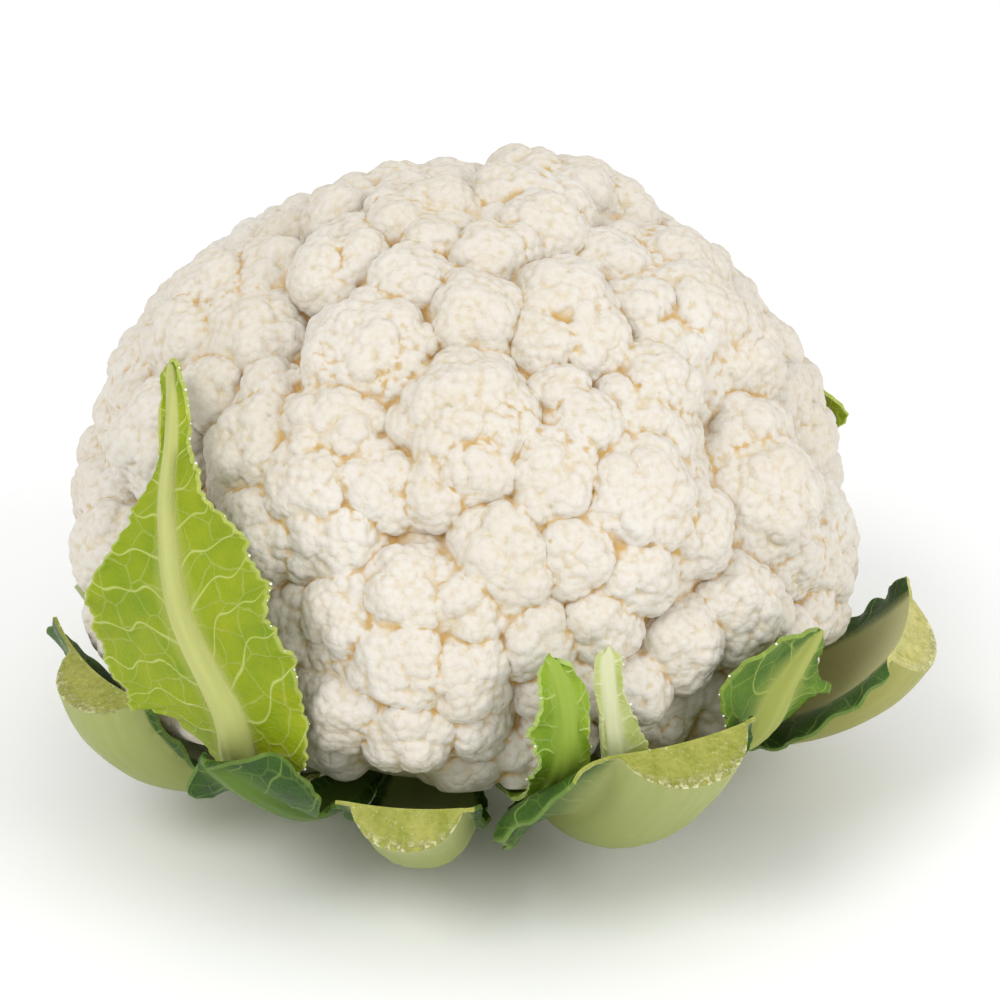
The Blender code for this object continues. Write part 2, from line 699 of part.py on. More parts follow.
def leaf_places(leaf, along, across):
    """The inner and outer surfaces of a leaf: two grids of points, with a row for each step along it.

    across runs from -1 at the left edge to 1 at the right, as seen from outside, and the thick rib takes
    up the middle RIB_SHARE of it. Along each row the sheet first leaves the rib's side and then turns by
    the curl, so that a positive curl rolls its edge away from the head.
    """
    path = smooth_values([round_stem(*point) for point in leaf["path"]], along)
    fine = np.linspace(0.0, 1.0, 400)
    line = smooth_values([round_stem(*point) for point in leaf["path"]], fine)
    tangent = np.column_stack([np.interp(along, fine, np.gradient(line[:, k])) for k in range(3)])
    tangent = unit(tangent)
    radial = unit(path * [1.0, 1.0, 0.0])
    outward = radial * tangent[:, 2:] - np.array([0.0, 0.0, 1.0]) * (tangent * radial).sum(1, keepdims=True)
    outward = unit(outward - tangent * (outward * tangent).sum(1, keepdims=True))
    sideways = np.cross(tangent, outward)
    rib = smooth_values(leaf["rib"], along)
    thick = smooth_values(leaf["thick"], along)
    middle = len(across) // 2
    spread = np.abs(across)[None, :]
    on_rib = np.clip(spread / RIB_SHARE, 0.0, 1.0)
    on_wing = np.clip((spread - RIB_SHARE) / (1.0 - RIB_SHARE), 0.0, 1.0)
    left, right = smooth_values(leaf["left"], along), smooth_values(leaf["right"], along)
    wing = np.where(across[None, :] < 0.0, left, right)
    curl_left = smooth_values(leaf["curl_left"], along)
    curl_right = smooth_values(leaf["curl_right"], along)
    curl = np.radians(np.where(across[None, :] < 0.0, curl_left, curl_right))
    run = on_rib * rib + on_wing * wing
    turn = -run / leaf["cup"] + curl * on_wing**2
    ripple = leaf["ripple"] * on_wing**1.3 * np.sin(
        math.tau * leaf["ripples"] * along[:, None] + leaf["phase"] + 1.7 * np.sign(across)[None, :]
    )
    away = np.sign(across)[None, :] * run
    step = np.diff(away, axis=1)
    mean_turn = 0.5 * (turn[:, 1:] + turn[:, :-1])
    side_run = np.zeros_like(run)
    out_run = np.zeros_like(run)
    side_step = np.cos(mean_turn) * step
    out_step = np.sin(mean_turn) * np.abs(step)
    side_run[:, middle + 1 :] = np.cumsum(side_step[:, middle:], axis=1)
    out_run[:, middle + 1 :] = np.cumsum(out_step[:, middle:], axis=1)
    side_run[:, :middle] = -np.cumsum(side_step[:, :middle][:, ::-1], axis=1)[:, ::-1]
    out_run[:, :middle] = np.cumsum(out_step[:, :middle][:, ::-1], axis=1)[:, ::-1]
    inner = (
        path[:, None, :]
        + sideways[:, None, :] * side_run[:, :, None]
        + outward[:, None, :] * (out_run + ripple)[:, :, None]
    )
    inner = kept_outside(inner, CLEARANCE)
    slope_along = np.gradient(inner, axis=0)
    slope_across = np.gradient(inner, axis=1)
    normal = unit(np.cross(slope_across, slope_along))
    normal *= np.sign((normal * outward[:, None, :]).sum(-1, keepdims=True).mean())
    shoulder = (1.0 - np.clip(on_rib, 0.0, 1.0) ** 2.4) ** 0.8
    depth = BLADE_THICKNESS + (thick - BLADE_THICKNESS) * shoulder
    return inner, inner + normal * depth[:, :, None]


def leaf_mesh(leaf):
    """One closed leaf: a flat grid of triangles and its copy, laid on the leaf's two surfaces."""
    rows, columns = leaf["grid"]
    mesh = bmesh.new()
    bmesh.ops.create_grid(mesh, x_segments=rows, y_segments=columns, size=1.0)
    bmesh.ops.triangulate(mesh, faces=mesh.faces)
    added = bmesh.ops.extrude_face_region(mesh, geom=mesh.faces[:], use_keep_orig=True)["geom"]
    outer_corners = {item for item in added if isinstance(item, bmesh.types.BMVert)}
    along = np.linspace(0.0, 1.0, rows + 1)
    across = np.linspace(-1.0, 1.0, columns + 1)
    inner, outer = leaf_places(leaf, along, across)
    for vertex in mesh.verts:
        row = round((vertex.co.x + 1.0) * 0.5 * rows)
        column = round((vertex.co.y + 1.0) * 0.5 * columns)
        place = outer if vertex in outer_corners else inner
        vertex.co = Vector(place[row, column] * MM)
    bmesh.ops.recalc_face_normals(mesh, faces=mesh.faces)
    if mesh.calc_volume(signed=True) < 0.0:
        bmesh.ops.reverse_faces(mesh, faces=mesh.faces)
    return mesh


def stem_mesh():
    """The stalk under the curd: a turned profile with a flat foot and a flat top."""
    mesh = bmesh.new()
    corners = [mesh.verts.new((radius * MM, 0.0, height * MM)) for radius, height in STEM_PROFILE]
    edges = [mesh.edges.new(pair) for pair in zip(corners, corners[1:])]
    bmesh.ops.spin(
        mesh,
        geom=corners + edges,
        axis=(0.0, 0.0, 1.0),
        cent=(0.0, 0.0, 0.0),
        angle=math.tau,
        steps=STEM_SIDES,
        use_merge=True,
    )
    bmesh.ops.remove_doubles(mesh, verts=mesh.verts, dist=0.00002)
    bmesh.ops.triangulate(mesh, faces=mesh.faces)
    bmesh.ops.recalc_face_normals(mesh, faces=mesh.faces)
    return mesh


def material(name, colour, roughness):
    """A plain material of this colour and roughness."""
    made = bpy.data.materials.new(name)
    made.use_nodes = True
    shader = made.node_tree.nodes["Principled BSDF"]
    shader.inputs["Base Color"].default_value = (*colour, 1.0)
    shader.inputs["Roughness"].default_value = roughness
    return made


def add_object(name, mesh, finish, collection):
    """A named object from a bmesh, shaded smooth, in the collection."""
    data = bpy.data.meshes.new(name)
    mesh.to_mesh(data)
    mesh.free()
    data.materials.append(finish)
    data.shade_smooth()
    data.set_sharp_from_angle(angle=SHARP_ANGLE)
    made = bpy.data.objects.new(name, data)
    collection.objects.link(made)
    return made


def main():
    for old in list(bpy.data.objects):
        bpy.data.objects.remove(old)
    collection = bpy.data.collections.new("cauliflower")
    bpy.context.scene.collection.children.link(collection)
    cream = material("curd_cream", (0.87, 0.82, 0.71), 0.6)
    stalk = material("stem_pale_green", (0.56, 0.60, 0.36), 0.5)
    florets, lobes = curd_balls()
    add_object("curd", curd_mesh(florets, lobes), cream, collection)
    add_object("stem", stem_mesh(), stalk, collection)
    for name, leaf in LEAVES.items():
        green = material(name.replace("leaf", "green"), (0.20, 0.34, 0.08), 0.45)
        add_object(name, leaf_mesh(leaf), green, collection)


main()
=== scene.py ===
"""Looks of a trimmed cauliflower: a curd of florets, lobes and grains, cut leaf bases and small leaves.

The curd and the leaves follow the same rules as the part's solids, with finer steps, so each piece lies where
its solid is. Lengths are in millimetres until a mesh is made.
"""

import itertools
import math
from collections import namedtuple

import bmesh
import bpy
import numpy as np
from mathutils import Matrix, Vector
from mathutils.kdtree import KDTree


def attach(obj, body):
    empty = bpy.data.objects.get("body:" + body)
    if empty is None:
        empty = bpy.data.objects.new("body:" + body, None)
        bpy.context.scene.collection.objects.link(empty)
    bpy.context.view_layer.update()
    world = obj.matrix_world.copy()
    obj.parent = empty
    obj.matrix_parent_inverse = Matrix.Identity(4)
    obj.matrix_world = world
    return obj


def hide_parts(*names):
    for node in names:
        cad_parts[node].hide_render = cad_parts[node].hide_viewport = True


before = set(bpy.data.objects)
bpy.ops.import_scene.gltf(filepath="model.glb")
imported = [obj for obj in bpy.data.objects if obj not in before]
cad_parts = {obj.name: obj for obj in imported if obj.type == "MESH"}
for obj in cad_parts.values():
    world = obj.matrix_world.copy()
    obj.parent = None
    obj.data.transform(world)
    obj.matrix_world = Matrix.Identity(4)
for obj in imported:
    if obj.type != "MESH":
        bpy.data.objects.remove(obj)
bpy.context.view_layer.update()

MM = 0.001
SEED = 11

# The head: an ellipsoid that the tops of the florets reach.
HEAD_CENTRE = np.array([0.0, 0.0, 54.0])
HEAD_HALF_WIDTH = 88.0
HEAD_HALF_HEIGHT = 84.0
HEAD_HALF_AXES = np.array([HEAD_HALF_WIDTH, HEAD_HALF_WIDTH, HEAD_HALF_HEIGHT])
CORE_HALF_WIDTH = 75.0
CORE_RISE = 71.0
CORE_DROP = 27.0

# The front is described as it shows from this far above level and this far away.
FACING_RISE = math.radians(25.0)
FACING_DISTANCE = 950.0
FACING_BACK = np.array([0.0, -math.cos(FACING_RISE), math.sin(FACING_RISE)])
FACING_UPWARD = np.array([0.0, math.sin(FACING_RISE), math.cos(FACING_RISE)])

# A cluster's dome: its roundness, how far wide ones stand out, and how deep its florets are set in it.
CLUSTER_ROUNDNESS = 1.25
CLUSTER_SWELL = 0.2
SMALL_CLUSTER = 12.0
DOME_INSET = 2.1

# A floret's ball sits below its top and leans from its dome's way out towards the head's.
FLORET_SINK = 0.86
FLORET_LEAN = 0.6

# The lobes on each floret.
LOBE_SPACING = 10.0
LOBE_RADIUS = 6.2
LOBE_SHARE = 0.68
LOBE_STANDS_OUT = 0.26
LOBE_SPREAD = math.radians(84.0)
LOBE_PACKING = 0.87
LOBE_VARIES = (0.86, 1.14)
GOLDEN_ANGLE = math.pi * (3.0 - math.sqrt(5.0))

# The clusters that cover the sides, the back and the crown.
LOWEST_FLORET = math.radians(-14.0)
FILL_RADII = (22.0, 17.0, 13.0, 10.0, 8.0)
FILL_TRIES = 420
FILL_SPACING = 0.79
FILL_SHRINK = (0.945, 1.0)
RING_COUNTS = (5, 6)
RING_OF_SIX = 18.0
RING_REACH = 0.66
RING_SIZE = (0.4, 0.48)
RING_TURN_VARIES = 0.12
RING_LEAN_VARIES = (0.92, 1.08)
MIDDLE_SIZE = 0.5

# The body that holds the whole curd, so that what stays outside it is clear of the curd.
GUARD_HALF_WIDTH = 92.0
GUARD_RISE = 88.0
GUARD_DROP = 28.0

# Branches that carry the florets whose middles are lower than this.
BRANCHES_BELOW = 60.0
BRANCH_ROOT = 33.0
BRANCH_ROOT_REACH = 12.0
BRANCH_RADIUS = 7.0
BRANCH_TOP_SHARE = 0.72
BRANCH_SIDES = 20

# The stem as (radius, height), the curd's flat underside on it, and its ridges as (height, count, lean).
STEM_TOP = 25.5
FLAT_UNDERSIDE = 36.0
LIFT_WITHIN = 86.0
STEM_PROFILE = (
    (0.0, 0.0), (18.6, 0.0), (19.4, 0.8), (20.0, 7.0), (20.8, 14.0),
    (21.4, 20.0), (20.6, 24.2), (19.2, STEM_TOP), (0.0, STEM_TOP),
)
STEM_RIDGES = ((0.35, 9.0, 0.08), (0.2, 23.0, -0.1))
STEM_RIDGES_START = 4.0
STEM_DENT = 0.25
STEM_DENT_REACH = 17.5
STEM_SHARP = math.radians(55)

# The curd's gap to the stem, and the leaves' gap to the curd.
TOUCH_GAP = 0.45
CLEARANCE = 0.6

# A leaf's blade, and the share of its grid that lies on its thick rib.
BLADE_THICKNESS = 0.9
RIB_SHARE = 0.42

# Each leaf: its kind, its rows and columns, the radius of its hollow, the height, number and start of its
# waves, and then a row for each even step along it: the middle of its inner surface as azimuth, reach and
# height from the stem outwards, the rib's half width and thickness, the width of the wing on the left and
# on the right, and how far the left and the right wing's edge is rolled away from the head, in degrees.
Leaf = namedtuple("Leaf", "kind fine cup ripple ripples phase steps")
LEAVES = {
    "leaf_front_right": Leaf("base", (110, 72), 110.0, 1.8, 2.6, 0.4, (
        (29, 22.4, 15, 7, 10, 2.2, 2.2, 0, 0),
        (28.5, 42, 15.5, 9, 10.5, 3, 3, 0, 0),
        (28, 62, 18, 12, 11, 7, 4, 20, 0),
        (28, 80, 25, 14.5, 10.4, 18, 5, 70, 10),
        (28, 92.5, 37, 15.5, 10.2, 28, 4, 95, 30),
        (28, 100, 47.5, 15, 10.5, 12, 3, 60, 20),
    )),
    "leaf_right": Leaf("base", (100, 64), 80.0, 1.8, 2.2, 2.0, (
        (78, 22.4, 15, 7, 10, 2.2, 2.2, 0, 0),
        (78, 42, 15.5, 9, 10.5, 3, 3, 0, 0),
        (78, 62, 18, 12, 11, 7, 5, 10, 0),
        (77, 80, 23.5, 14.5, 11, 15, 9, 35, 0),
        (76, 93, 32, 16, 10.5, 18, 12, 50, 10),
        (76, 101, 41, 15, 9.5, 6, 6, 30, 10),
    )),
    "leaf_front": Leaf("base", (100, 64), 90.0, 0.8, 2.6, 1.0, (
        (-9, 22.4, 14, 5, 9, 2.2, 2.2, 0, 0),
        (-8, 42, 14, 8, 9.5, 2.5, 2.5, 0, 0),
        (-6, 60, 15.5, 10, 9.6, 2.5, 2.5, 0, 0),
        (-6, 75, 20.5, 11.5, 9.4, 3, 2.5, 10, 10),
        (-6, 88, 30.2, 12, 9, 4, 2.5, 10, 10),
        (-6, 98, 37, 11.5, 9, 3, 2.5, 0, 0),
    )),
    "leaf_left": Leaf("base", (100, 64), 72.0, 1.6, 2.4, 3.0, (
        (-60, 22.4, 15, 7, 10, 2.2, 2.2, 0, 0),
        (-60, 42, 15.5, 9, 10, 3, 3, 0, 0),
        (-58, 62, 18, 12, 10.4, 8, 3, 10, 10),
        (-56, 78, 24.3, 14, 10, 16, 3.4, 20, 20),
        (-55, 88.5, 34, 15, 9.5, 22, 3, 20, 20),
        (-55, 92.5, 44, 14.5, 9.5, 14, 3, 10, 10),
    )),
    "leaf_back_left": Leaf("base", (60, 40), 80.0, 1.4, 2.2, 4.1, (
        (-112, 22.4, 15, 7, 10, 2.2, 2.2, 0, 0),
        (-112, 40, 15.5, 9, 11, 3, 3, 0, 0),
        (-112, 56, 17, 11, 12, 6, 6, 10, 10),
        (-112, 70, 20.5, 14, 12, 10, 12, 20, 30),
        (-112, 80, 26, 15, 12, 8, 9, 30, 40),
        (-112, 87, 33, 15, 11.5, 4, 4, 10, 10),
    )),
    "leaf_back": Leaf("base", (60, 40), 76.0, 1.7, 2.4, 5.2, (
        (-164, 22.4, 14, 7, 10, 2.2, 2.2, 0, 0),
        (-164, 42, 14.5, 9, 11, 3, 3, 0, 0),
        (-165, 62, 17, 12, 12, 8, 6, 10, 10),
        (-165, 80, 22.5, 15, 12.5, 18, 12, 30, 20),
        (-166, 94, 32, 16, 12, 20, 14, 30, 20),
        (-166, 101, 43, 15.5, 11, 8, 6, 10, 10),
    )),
    "leaf_back_right": Leaf("base", (60, 40), 76.0, 1.6, 2.3, 0.9, (
        (142, 22.4, 15, 7, 10, 2.2, 2.2, 0, 0),
        (142, 42, 15.5, 9, 11, 3, 3, 0, 0),
        (143, 62, 18, 12, 12, 4, 7, 10, 10),
        (144, 79, 24, 15, 13, 6, 16, 20, 30),
        (145, 90, 34, 16, 13, 7, 18, 20, 30),
        (146, 95, 45, 15.5, 12, 4, 7, 10, 10),
    )),
    "leaf_inner_left": Leaf("young", (330, 76), 90.0, 1.5, 5.0, 0.0, (
        (-40, 23.4, 23.8, 4, 3, 2, 2, 0, 0),
        (-37, 48, 24, 5, 3, 2, 2, 0, 0),
        (-32, 72, 26.6, 6, 3, 2.5, 2.4, 0, 0),
        (-29, 91, 38, 5, 3.6, 4.4, 7.4, 0, 0),
        (-29, 97, 54, 3.5, 4, 21, 14, 10, 5),
        (-35, 98, 74, 2.6, 3.4, 24, 20, 20, 15),
        (-40, 92, 90, 2, 2.6, 8, 11.5, 40, 40),
        (-45, 83, 102, 1.6, 2, 1.2, 3.2, 50, 60),
        (-53, 74, 114, 1.2, 1.4, 2.8, 2.6, 40, 50),
    )),
    "leaf_inner_right": Leaf("young", (110, 40), 90.0, 1.4, 4.0, 1.4, (
        (114, 23.4, 23.8, 4, 3, 2, 2, 0, 0),
        (114, 48, 24, 5, 3, 2, 2, 0, 0),
        (117, 72, 26.6, 5, 3, 2.5, 2.5, 0, 0),
        (120, 91, 38, 4.4, 3.2, 4, 5, 10, 10),
        (122, 96, 52, 3.4, 3, 6, 8, 20, 10),
        (122.5, 97, 62, 2.6, 2.4, 7, 8, 30, 20),
        (122.5, 95, 71, 1.6, 1.6, 4, 4, 30, 20),
    )),
    "leaf_inner_small": Leaf("small", (140, 56), 100.0, 1.5, 3.4, 2.2, (
        (50, 23.4, 23.8, 3.4, 3, 1.6, 1.6, 0, 0),
        (49, 46, 24, 4, 3, 2, 2, 0, 0),
        (46, 72, 26.8, 5, 2.8, 3, 3, 0, 0),
        (44.5, 90, 38, 5.4, 3, 5, 9, 0, 10),
        (46, 95.5, 50.5, 3.6, 2.8, 14, 12, 10, 20),
        (51, 98, 60.5, 1.6, 1.4, 4, 4, 20, 20),
    )),
    "leaf_tiny_centre": Leaf("small", (130, 44), 92.0, 1.2, 5.0, 0.7, (
        (9, 23.4, 23.8, 2, 2.6, 1.5, 1.5, 0, 0),
        (10, 46, 24, 2.6, 2.4, 1.8, 1.8, 0, 0),
        (11.5, 72, 26.8, 3, 1.8, 2, 1.8, 0, 0),
        (13.4, 91.5, 40, 2.8, 1.8, 3, 2, 20, 0),
        (13.8, 95.5, 55, 2, 1.6, 6, 2.4, 60, 0),
        (12, 96, 70, 1.2, 1.2, 2, 2, 50, 0),
    )),
    "leaf_tiny_pale": Leaf("young", (130, 30), 92.0, 0.5, 3.0, 1.9, (
        (26.5, 23.4, 23.8, 1.6, 2.4, 1.4, 1.4, 0, 0),
        (25.5, 46, 24, 1.8, 2.2, 1.4, 1.8, 0, 0),
        (23, 72, 26.8, 2, 1.8, 1.4, 3, 0, 0),
        (20.8, 91, 40, 1.8, 1.8, 1, 7, 0, 20),
        (19.4, 94.8, 55, 1.6, 1.6, 1, 2.4, 0, 20),
        (18.8, 94.6, 70, 1.2, 1.2, 1.2, 1.6, 0, 20),
    )),
    "leaf_low_left": Leaf("dark", (130, 56), 100.0, 2.4, 3.2, 4.4, (
        (-13, 23.4, 23.8, 3, 2.6, 1.6, 1.6, 0, 0),
        (-18, 48, 24, 3, 2.6, 2, 2, 0, 0),
        (-20.5, 72, 24, 3.4, 2.6, 2, 2, 0, 0),
        (-22.5, 85.5, 27, 4, 2.8, 2.4, 3, 0, 0),
        (-26, 97, 36, 3.6, 2.6, 8, 13, 20, -20),
        (-30, 103, 44, 2.4, 1.8, 7, 5, 60, 20),
    )),
}

# Each cluster of the front: (across, up, radius), then (across, up, radius) of each of its florets.
FRONT_CLUSTERS = (
    ((16, 76, 17), ((12, 80, 11), (23, 77, 10), (20, 71, 10))),
    ((-8, 73, 16), ((-4, 78, 10), (-17, 77, 8), (-16, 71, 8), (-5, 66, 7))),
    ((9, 66, 9), ((13, 67, 8), (6, 65, 8))),
    ((-26, 64, 13), ((-27, 72, 9), (-22, 63, 7), (-31, 60, 9))),
    ((-11, 59, 10), ((-11, 59, 10),)),
    ((-21, 44, 16), ((-21, 44, 15), (-28, 37, 9), (-14, 38, 8))),
    ((4, 52, 11), ((4, 52, 11),)),
    ((26, 51, 15), ((26, 56, 12), (19, 43, 8), (33, 44, 9))),
    ((54, 54, 25), ((35, 64, 9), (39, 72, 8), (52, 63, 13), (57, 52, 12), (42, 52, 8), (49, 41, 10))),
    ((66, 43, 14), ((66, 45, 13),)),
    ((24, 33, 6), ((24, 33, 6),)),
    ((2, 23, 20), ((2, 30, 16), (-6, 9, 9), (5, 15, 9), (11, 24, 8))),
    ((-57, 52, 21), ((-42, 62, 10), (-58, 58, 14), (-65, 45, 10), (-47, 43, 13))),
    ((-72, 23, 13), ((-72, 23, 13),)),
    ((-36, 11, 25), (
        (-49, 21, 14), (-29, 26, 12), (-18, 11, 10), (-34, 11, 11), (-46, -1, 12), (-28, -3, 12),
    )),
    ((-82, -12, 17), ((-83, -3, 12), (-79, -25, 12))),
    ((-14, -31, 29), (
        (-39, -20, 9), (-27, -18, 10), (-12, -14, 11), (3, -16, 11), (-13, -30, 11), (-28, -41, 11),
        (2, -33, 11), (-11, -47, 12), (5, -46, 8),
    )),
    ((12, -6, 13), ((12, -6, 13),)),
    ((38, 7, 28), (
        (21, 13, 12), (29, 25, 9), (45, 29, 15), (27, -6, 9), (44, 9, 14), (42, -11, 10), (57, 0, 11),
    )),
    ((33, -21, 10), ((33, -21, 10),)),
    ((76, 8, 20), ((68, 26, 12), (76, 9, 13), (81, -10, 12))),
    ((68, -20, 14), ((66, -19, 12), (76, -25, 10))),
    ((53, -27, 10), ((53, -27, 10),)),
    ((19, -25, 9), ((19, -25, 9),)),
    ((26, -37, 9), ((26, -37, 9),)),
    ((41, -38, 9), ((41, -38, 9),)),
)

# Fine steps of the head, its hollows, and its bumps and grains as (spacing, roundness, relief).
GRAIN_STEP = 0.70
SOFTEN_ROUNDS = 2
WIDE_ROUNDS = 56
HOLLOW_DEPTH = 1.9
HOLLOW_RELIEF = 0.25
UNDERSIDE_HEIGHT = 34.0
UNDERSIDE_FADE = 10.0
BUMPS = (4.6, 0.80, 0.25)
GRAINS = (1.9, 0.78, 0.33)
CAP_VARIES = (0.86, 1.16)
CURD_WEDGES = 4

# Lines of painted shade between the florets and between their lobes: how far they are looked for, and their
# half width.
BORDER_REACH = 4.0
BORDER_LINE = 0.9
CREASE_ROUNDS = 10
CREASE_DEPTH = 0.13
GROOVE_ROUNDS = 3
GROOVE_DEPTH = 0.10

# The leaves' margins: teeth, lobes, a small frill and a rounded tip.
PATH_STEPS = 400
TOOTH_LENGTH = {"young": 2.3, "small": 2.2, "dark": 4.2, "base": 5.0}
TOOTH_DEPTH = {"young": 0.85, "small": 0.8, "dark": 0.8, "base": 0.7}
TOOTHED_WIDTH = 6.0
LOBE_LENGTH = 15.0
LOBE_DEPTH = 0.9
FRILL_LENGTH = 9.0
FRILL_HEIGHT = 0.6
FRILLED_WIDTH = 10.0
TIP_ROUND = 3.5
TIP_LEAST = 0.12
LEAF_SHARP = math.radians(60)

# The leaves' side veins: their slant, spacing and half width, how they bend and waver, and their relief.
VEIN_SLANT = 0.8
VEIN_SPACING = 8.5
VEIN_WIDTH = 0.9
VEIN_THINS = 0.6
VEIN_CURVE = 0.014
VEIN_SHIFT = 1.5
VEIN_BEND = 1.3
BEND_ACROSS = 0.31
BEND_ALONG = 0.13
VEIN_WAVE = 0.6
WAVE_ACROSS = 0.83
WAVE_ALONG = 0.21
VEIN_RELIEF = 0.3
STRAND_COUNT = 2.3
STRAND_RELIEF = 0.10

# The leaves' cut ends and their beads of sap, with the share of the left and right teeth that has one.
CUT_STEPS = 14
CUT_RELIEF = 0.35
CUT_RAG = 0.45
CUT_FULL_DEPTH = 6.0
DEW_RADIUS = (0.12, 0.34)
DEW_STANDS_OUT = 0.2
DEW_SHARE = {"young": (0.12, 0.7), "small": (0.45, 0.3), "dark": (0.0, 0.0), "base": (0.0, 0.0)}

# The places of the cut flesh and of the beads among a leaf's materials.
CUT_SKIN = 1
DEW_SKIN = 2

# Colours, as linear red, green and blue.
CURD_PALE = (0.685, 0.65, 0.588)
CURD_WARM = (0.655, 0.605, 0.518)
# Painted shade: the curd's grain valleys, small grooves, lobe creases, floret creases and deep hollows are
# darkened towards these warm ochres.
CURD_FAINT_SHADE = (0.62, 0.51, 0.32)
CURD_FLORET_SHADE = (0.55, 0.35, 0.105)
CURD_HOLLOW_SHADE = (0.52, 0.30, 0.075)
CUT_WET = (0.22, 0.27, 0.02)
CUT_COLOURS = {"leaf_right": ((0.58, 0.54, 0.195), (0.405, 0.395, 0.098))}
CUT_FLESH = ((0.372, 0.372, 0.078), (0.228, 0.26, 0.020))
# The pale of torn fibres, and also of the small painted highlights on the wet cut.
CUT_TORN_AND_GLINT = (0.72, 0.70, 0.42)
# Painted highlight: the beads of sap get these pale colours for the glint of clear drops.
DEW_GLINT = (0.80, 0.84, 0.66)
DEW_PALE = (0.86, 0.88, 0.80)
STEM_COLOURS = ((0.3, (0.47, 0.52, 0.26)), (0.7, (0.66, 0.69, 0.45)))
FLOOR_COLOUR = (0.96, 0.96, 0.96)

# Each leaf's or kind's three rib colours, hollow colour, two blade colours, vein colour and roughness.
LEAF_COLOURS = {
    "base": (
        ((0.30, 0.34, 0.095), (0.43, 0.45, 0.19), (0.36, 0.40, 0.13)), (0.60, 0.62, 0.30),
        ((0.014, 0.046, 0.004), (0.045, 0.115, 0.012)), (0.17, 0.26, 0.05), 0.36,
    ),
    "leaf_right": (
        ((0.31, 0.31, 0.075), (0.45, 0.44, 0.17), (0.38, 0.38, 0.11)), (0.74, 0.73, 0.40),
        ((0.014, 0.046, 0.004), (0.045, 0.115, 0.012)), (0.17, 0.26, 0.05), 0.36,
    ),
    "dark": (
        ((0.07, 0.14, 0.012), (0.15, 0.23, 0.035), (0.10, 0.18, 0.02)), (0.20, 0.27, 0.05),
        ((0.012, 0.044, 0.003), (0.040, 0.108, 0.010)), (0.15, 0.23, 0.04), 0.32,
    ),
    "small": (
        ((0.28, 0.32, 0.06), (0.42, 0.44, 0.12), (0.35, 0.39, 0.08)), (0.40, 0.43, 0.11),
        ((0.035, 0.10, 0.005), (0.12, 0.23, 0.012)), (0.28, 0.36, 0.07), 0.38,
    ),
    "young": (
        ((0.36, 0.40, 0.10), (0.55, 0.55, 0.22), (0.46, 0.48, 0.16)), (0.48, 0.49, 0.16),
        ((0.18, 0.28, 0.002), (0.31, 0.36, 0.006)), (0.47, 0.52, 0.15), 0.42,
    ),
    "leaf_tiny_pale": (
        ((0.50, 0.53, 0.28), (0.68, 0.68, 0.46), (0.60, 0.61, 0.37)), (0.52, 0.53, 0.25),
        ((0.36, 0.42, 0.09), (0.50, 0.54, 0.22)), (0.62, 0.64, 0.38), 0.42,
    ),
    "leaf_tiny_centre": (
        ((0.22, 0.34, 0.03), (0.36, 0.46, 0.08), (0.28, 0.40, 0.05)), (0.36, 0.42, 0.09),
        ((0.11, 0.23, 0.008), (0.27, 0.39, 0.02)), (0.45, 0.54, 0.18), 0.40,
    ),
}

# Sizes of the cells of the curd's skin and of the nets of fine veins, where the rib turns into blade, which
# is nearer to it on the standing leaf, and how the rib's foot keeps its first colour.
GRAIN_CELLS = 530.0
NET_SCALE = 0.15
FINE_NET_SCALE = 0.7
BLADE_FADE = ((0.22, 0.45), (0.05, 0.16))
RIB_FOOT = ((0.60, 0.85), (1.0, 0.0))

# The photograph, in its own pixels, and the size of one at the head's middle.
IMAGE_SIZE = 1000
HEAD_ACROSS_PIXEL = 460
HEAD_DOWN_PIXEL = 530
PIXEL = 0.2244
SENSOR_WIDTH = 36.0

# Light, the floor in metres, and the name, place, size and power of each lamp.
WORLD_STRENGTH = 0.83
FLOOR_HALF_WIDTH = 6.0
FLOOR_GAP = 0.0002
LIGHTS = (
    ("key", (-0.9, -1.1, 1.6), 1.0, 14.5),
    ("fill", (1.3, -0.9, 0.9), 1.2, 10.0),
)


def unit(vectors):
    """Vectors of length 1 along these."""
    vectors = np.asarray(vectors, float)
    return vectors / np.maximum(np.linalg.norm(vectors, axis=-1, keepdims=True), 1e-9)


def round_stem(azimuth, reach, height):
    """The point at this azimuth in degrees, 0 at the front and 90 on the right, and this far out and up."""
    turn = math.radians(azimuth)
    return np.array([reach * math.sin(turn), -reach * math.cos(turn), height])


def facing_ray(across, up):
    """The eye, and the way from it to what shows this far right of and above the head's middle."""
    eye = HEAD_CENTRE + FACING_BACK * FACING_DISTANCE
    target = HEAD_CENTRE + np.array([across, 0.0, 0.0]) + FACING_UPWARD * up
    return eye, unit(target - eye)


def first_hit(start, way, centre, half_axes):
    """Where a ray first meets an ellipsoid, or the ellipsoid's point nearest to a ray that misses it."""
    origin = (start - centre) / half_axes
    slope = way / half_axes
    a, b, c = slope @ slope, origin @ slope, origin @ origin - 1.0
    inside = b * b - a * c
    if inside >= 0.0:
        return start + way * ((-b - math.sqrt(inside)) / a)
    return centre + unit(origin - slope * (b / a)) * half_axes


def head_normal(point):
    """The way out of the head at a point of its surface."""
    return unit((point - HEAD_CENTRE) / HEAD_HALF_AXES**2)


def cluster_dome(top, radius):
    """(centre, radius) of the ball whose cap is the dome of a cluster. Wide clusters stand out further."""
    dome_radius = radius * CLUSTER_ROUNDNESS
    swell = CLUSTER_SWELL * (radius - SMALL_CLUSTER)
    return top + head_normal(top) * (swell - dome_radius), dome_radius


def floret_ball(top, dome_centre, radius):
    """(centre, radius, way out) of a floret whose top is at this point of its cluster's dome."""
    out = unit(unit(top - dome_centre) + FLORET_LEAN * head_normal(top))
    return top - out * radius * FLORET_SINK, radius, out


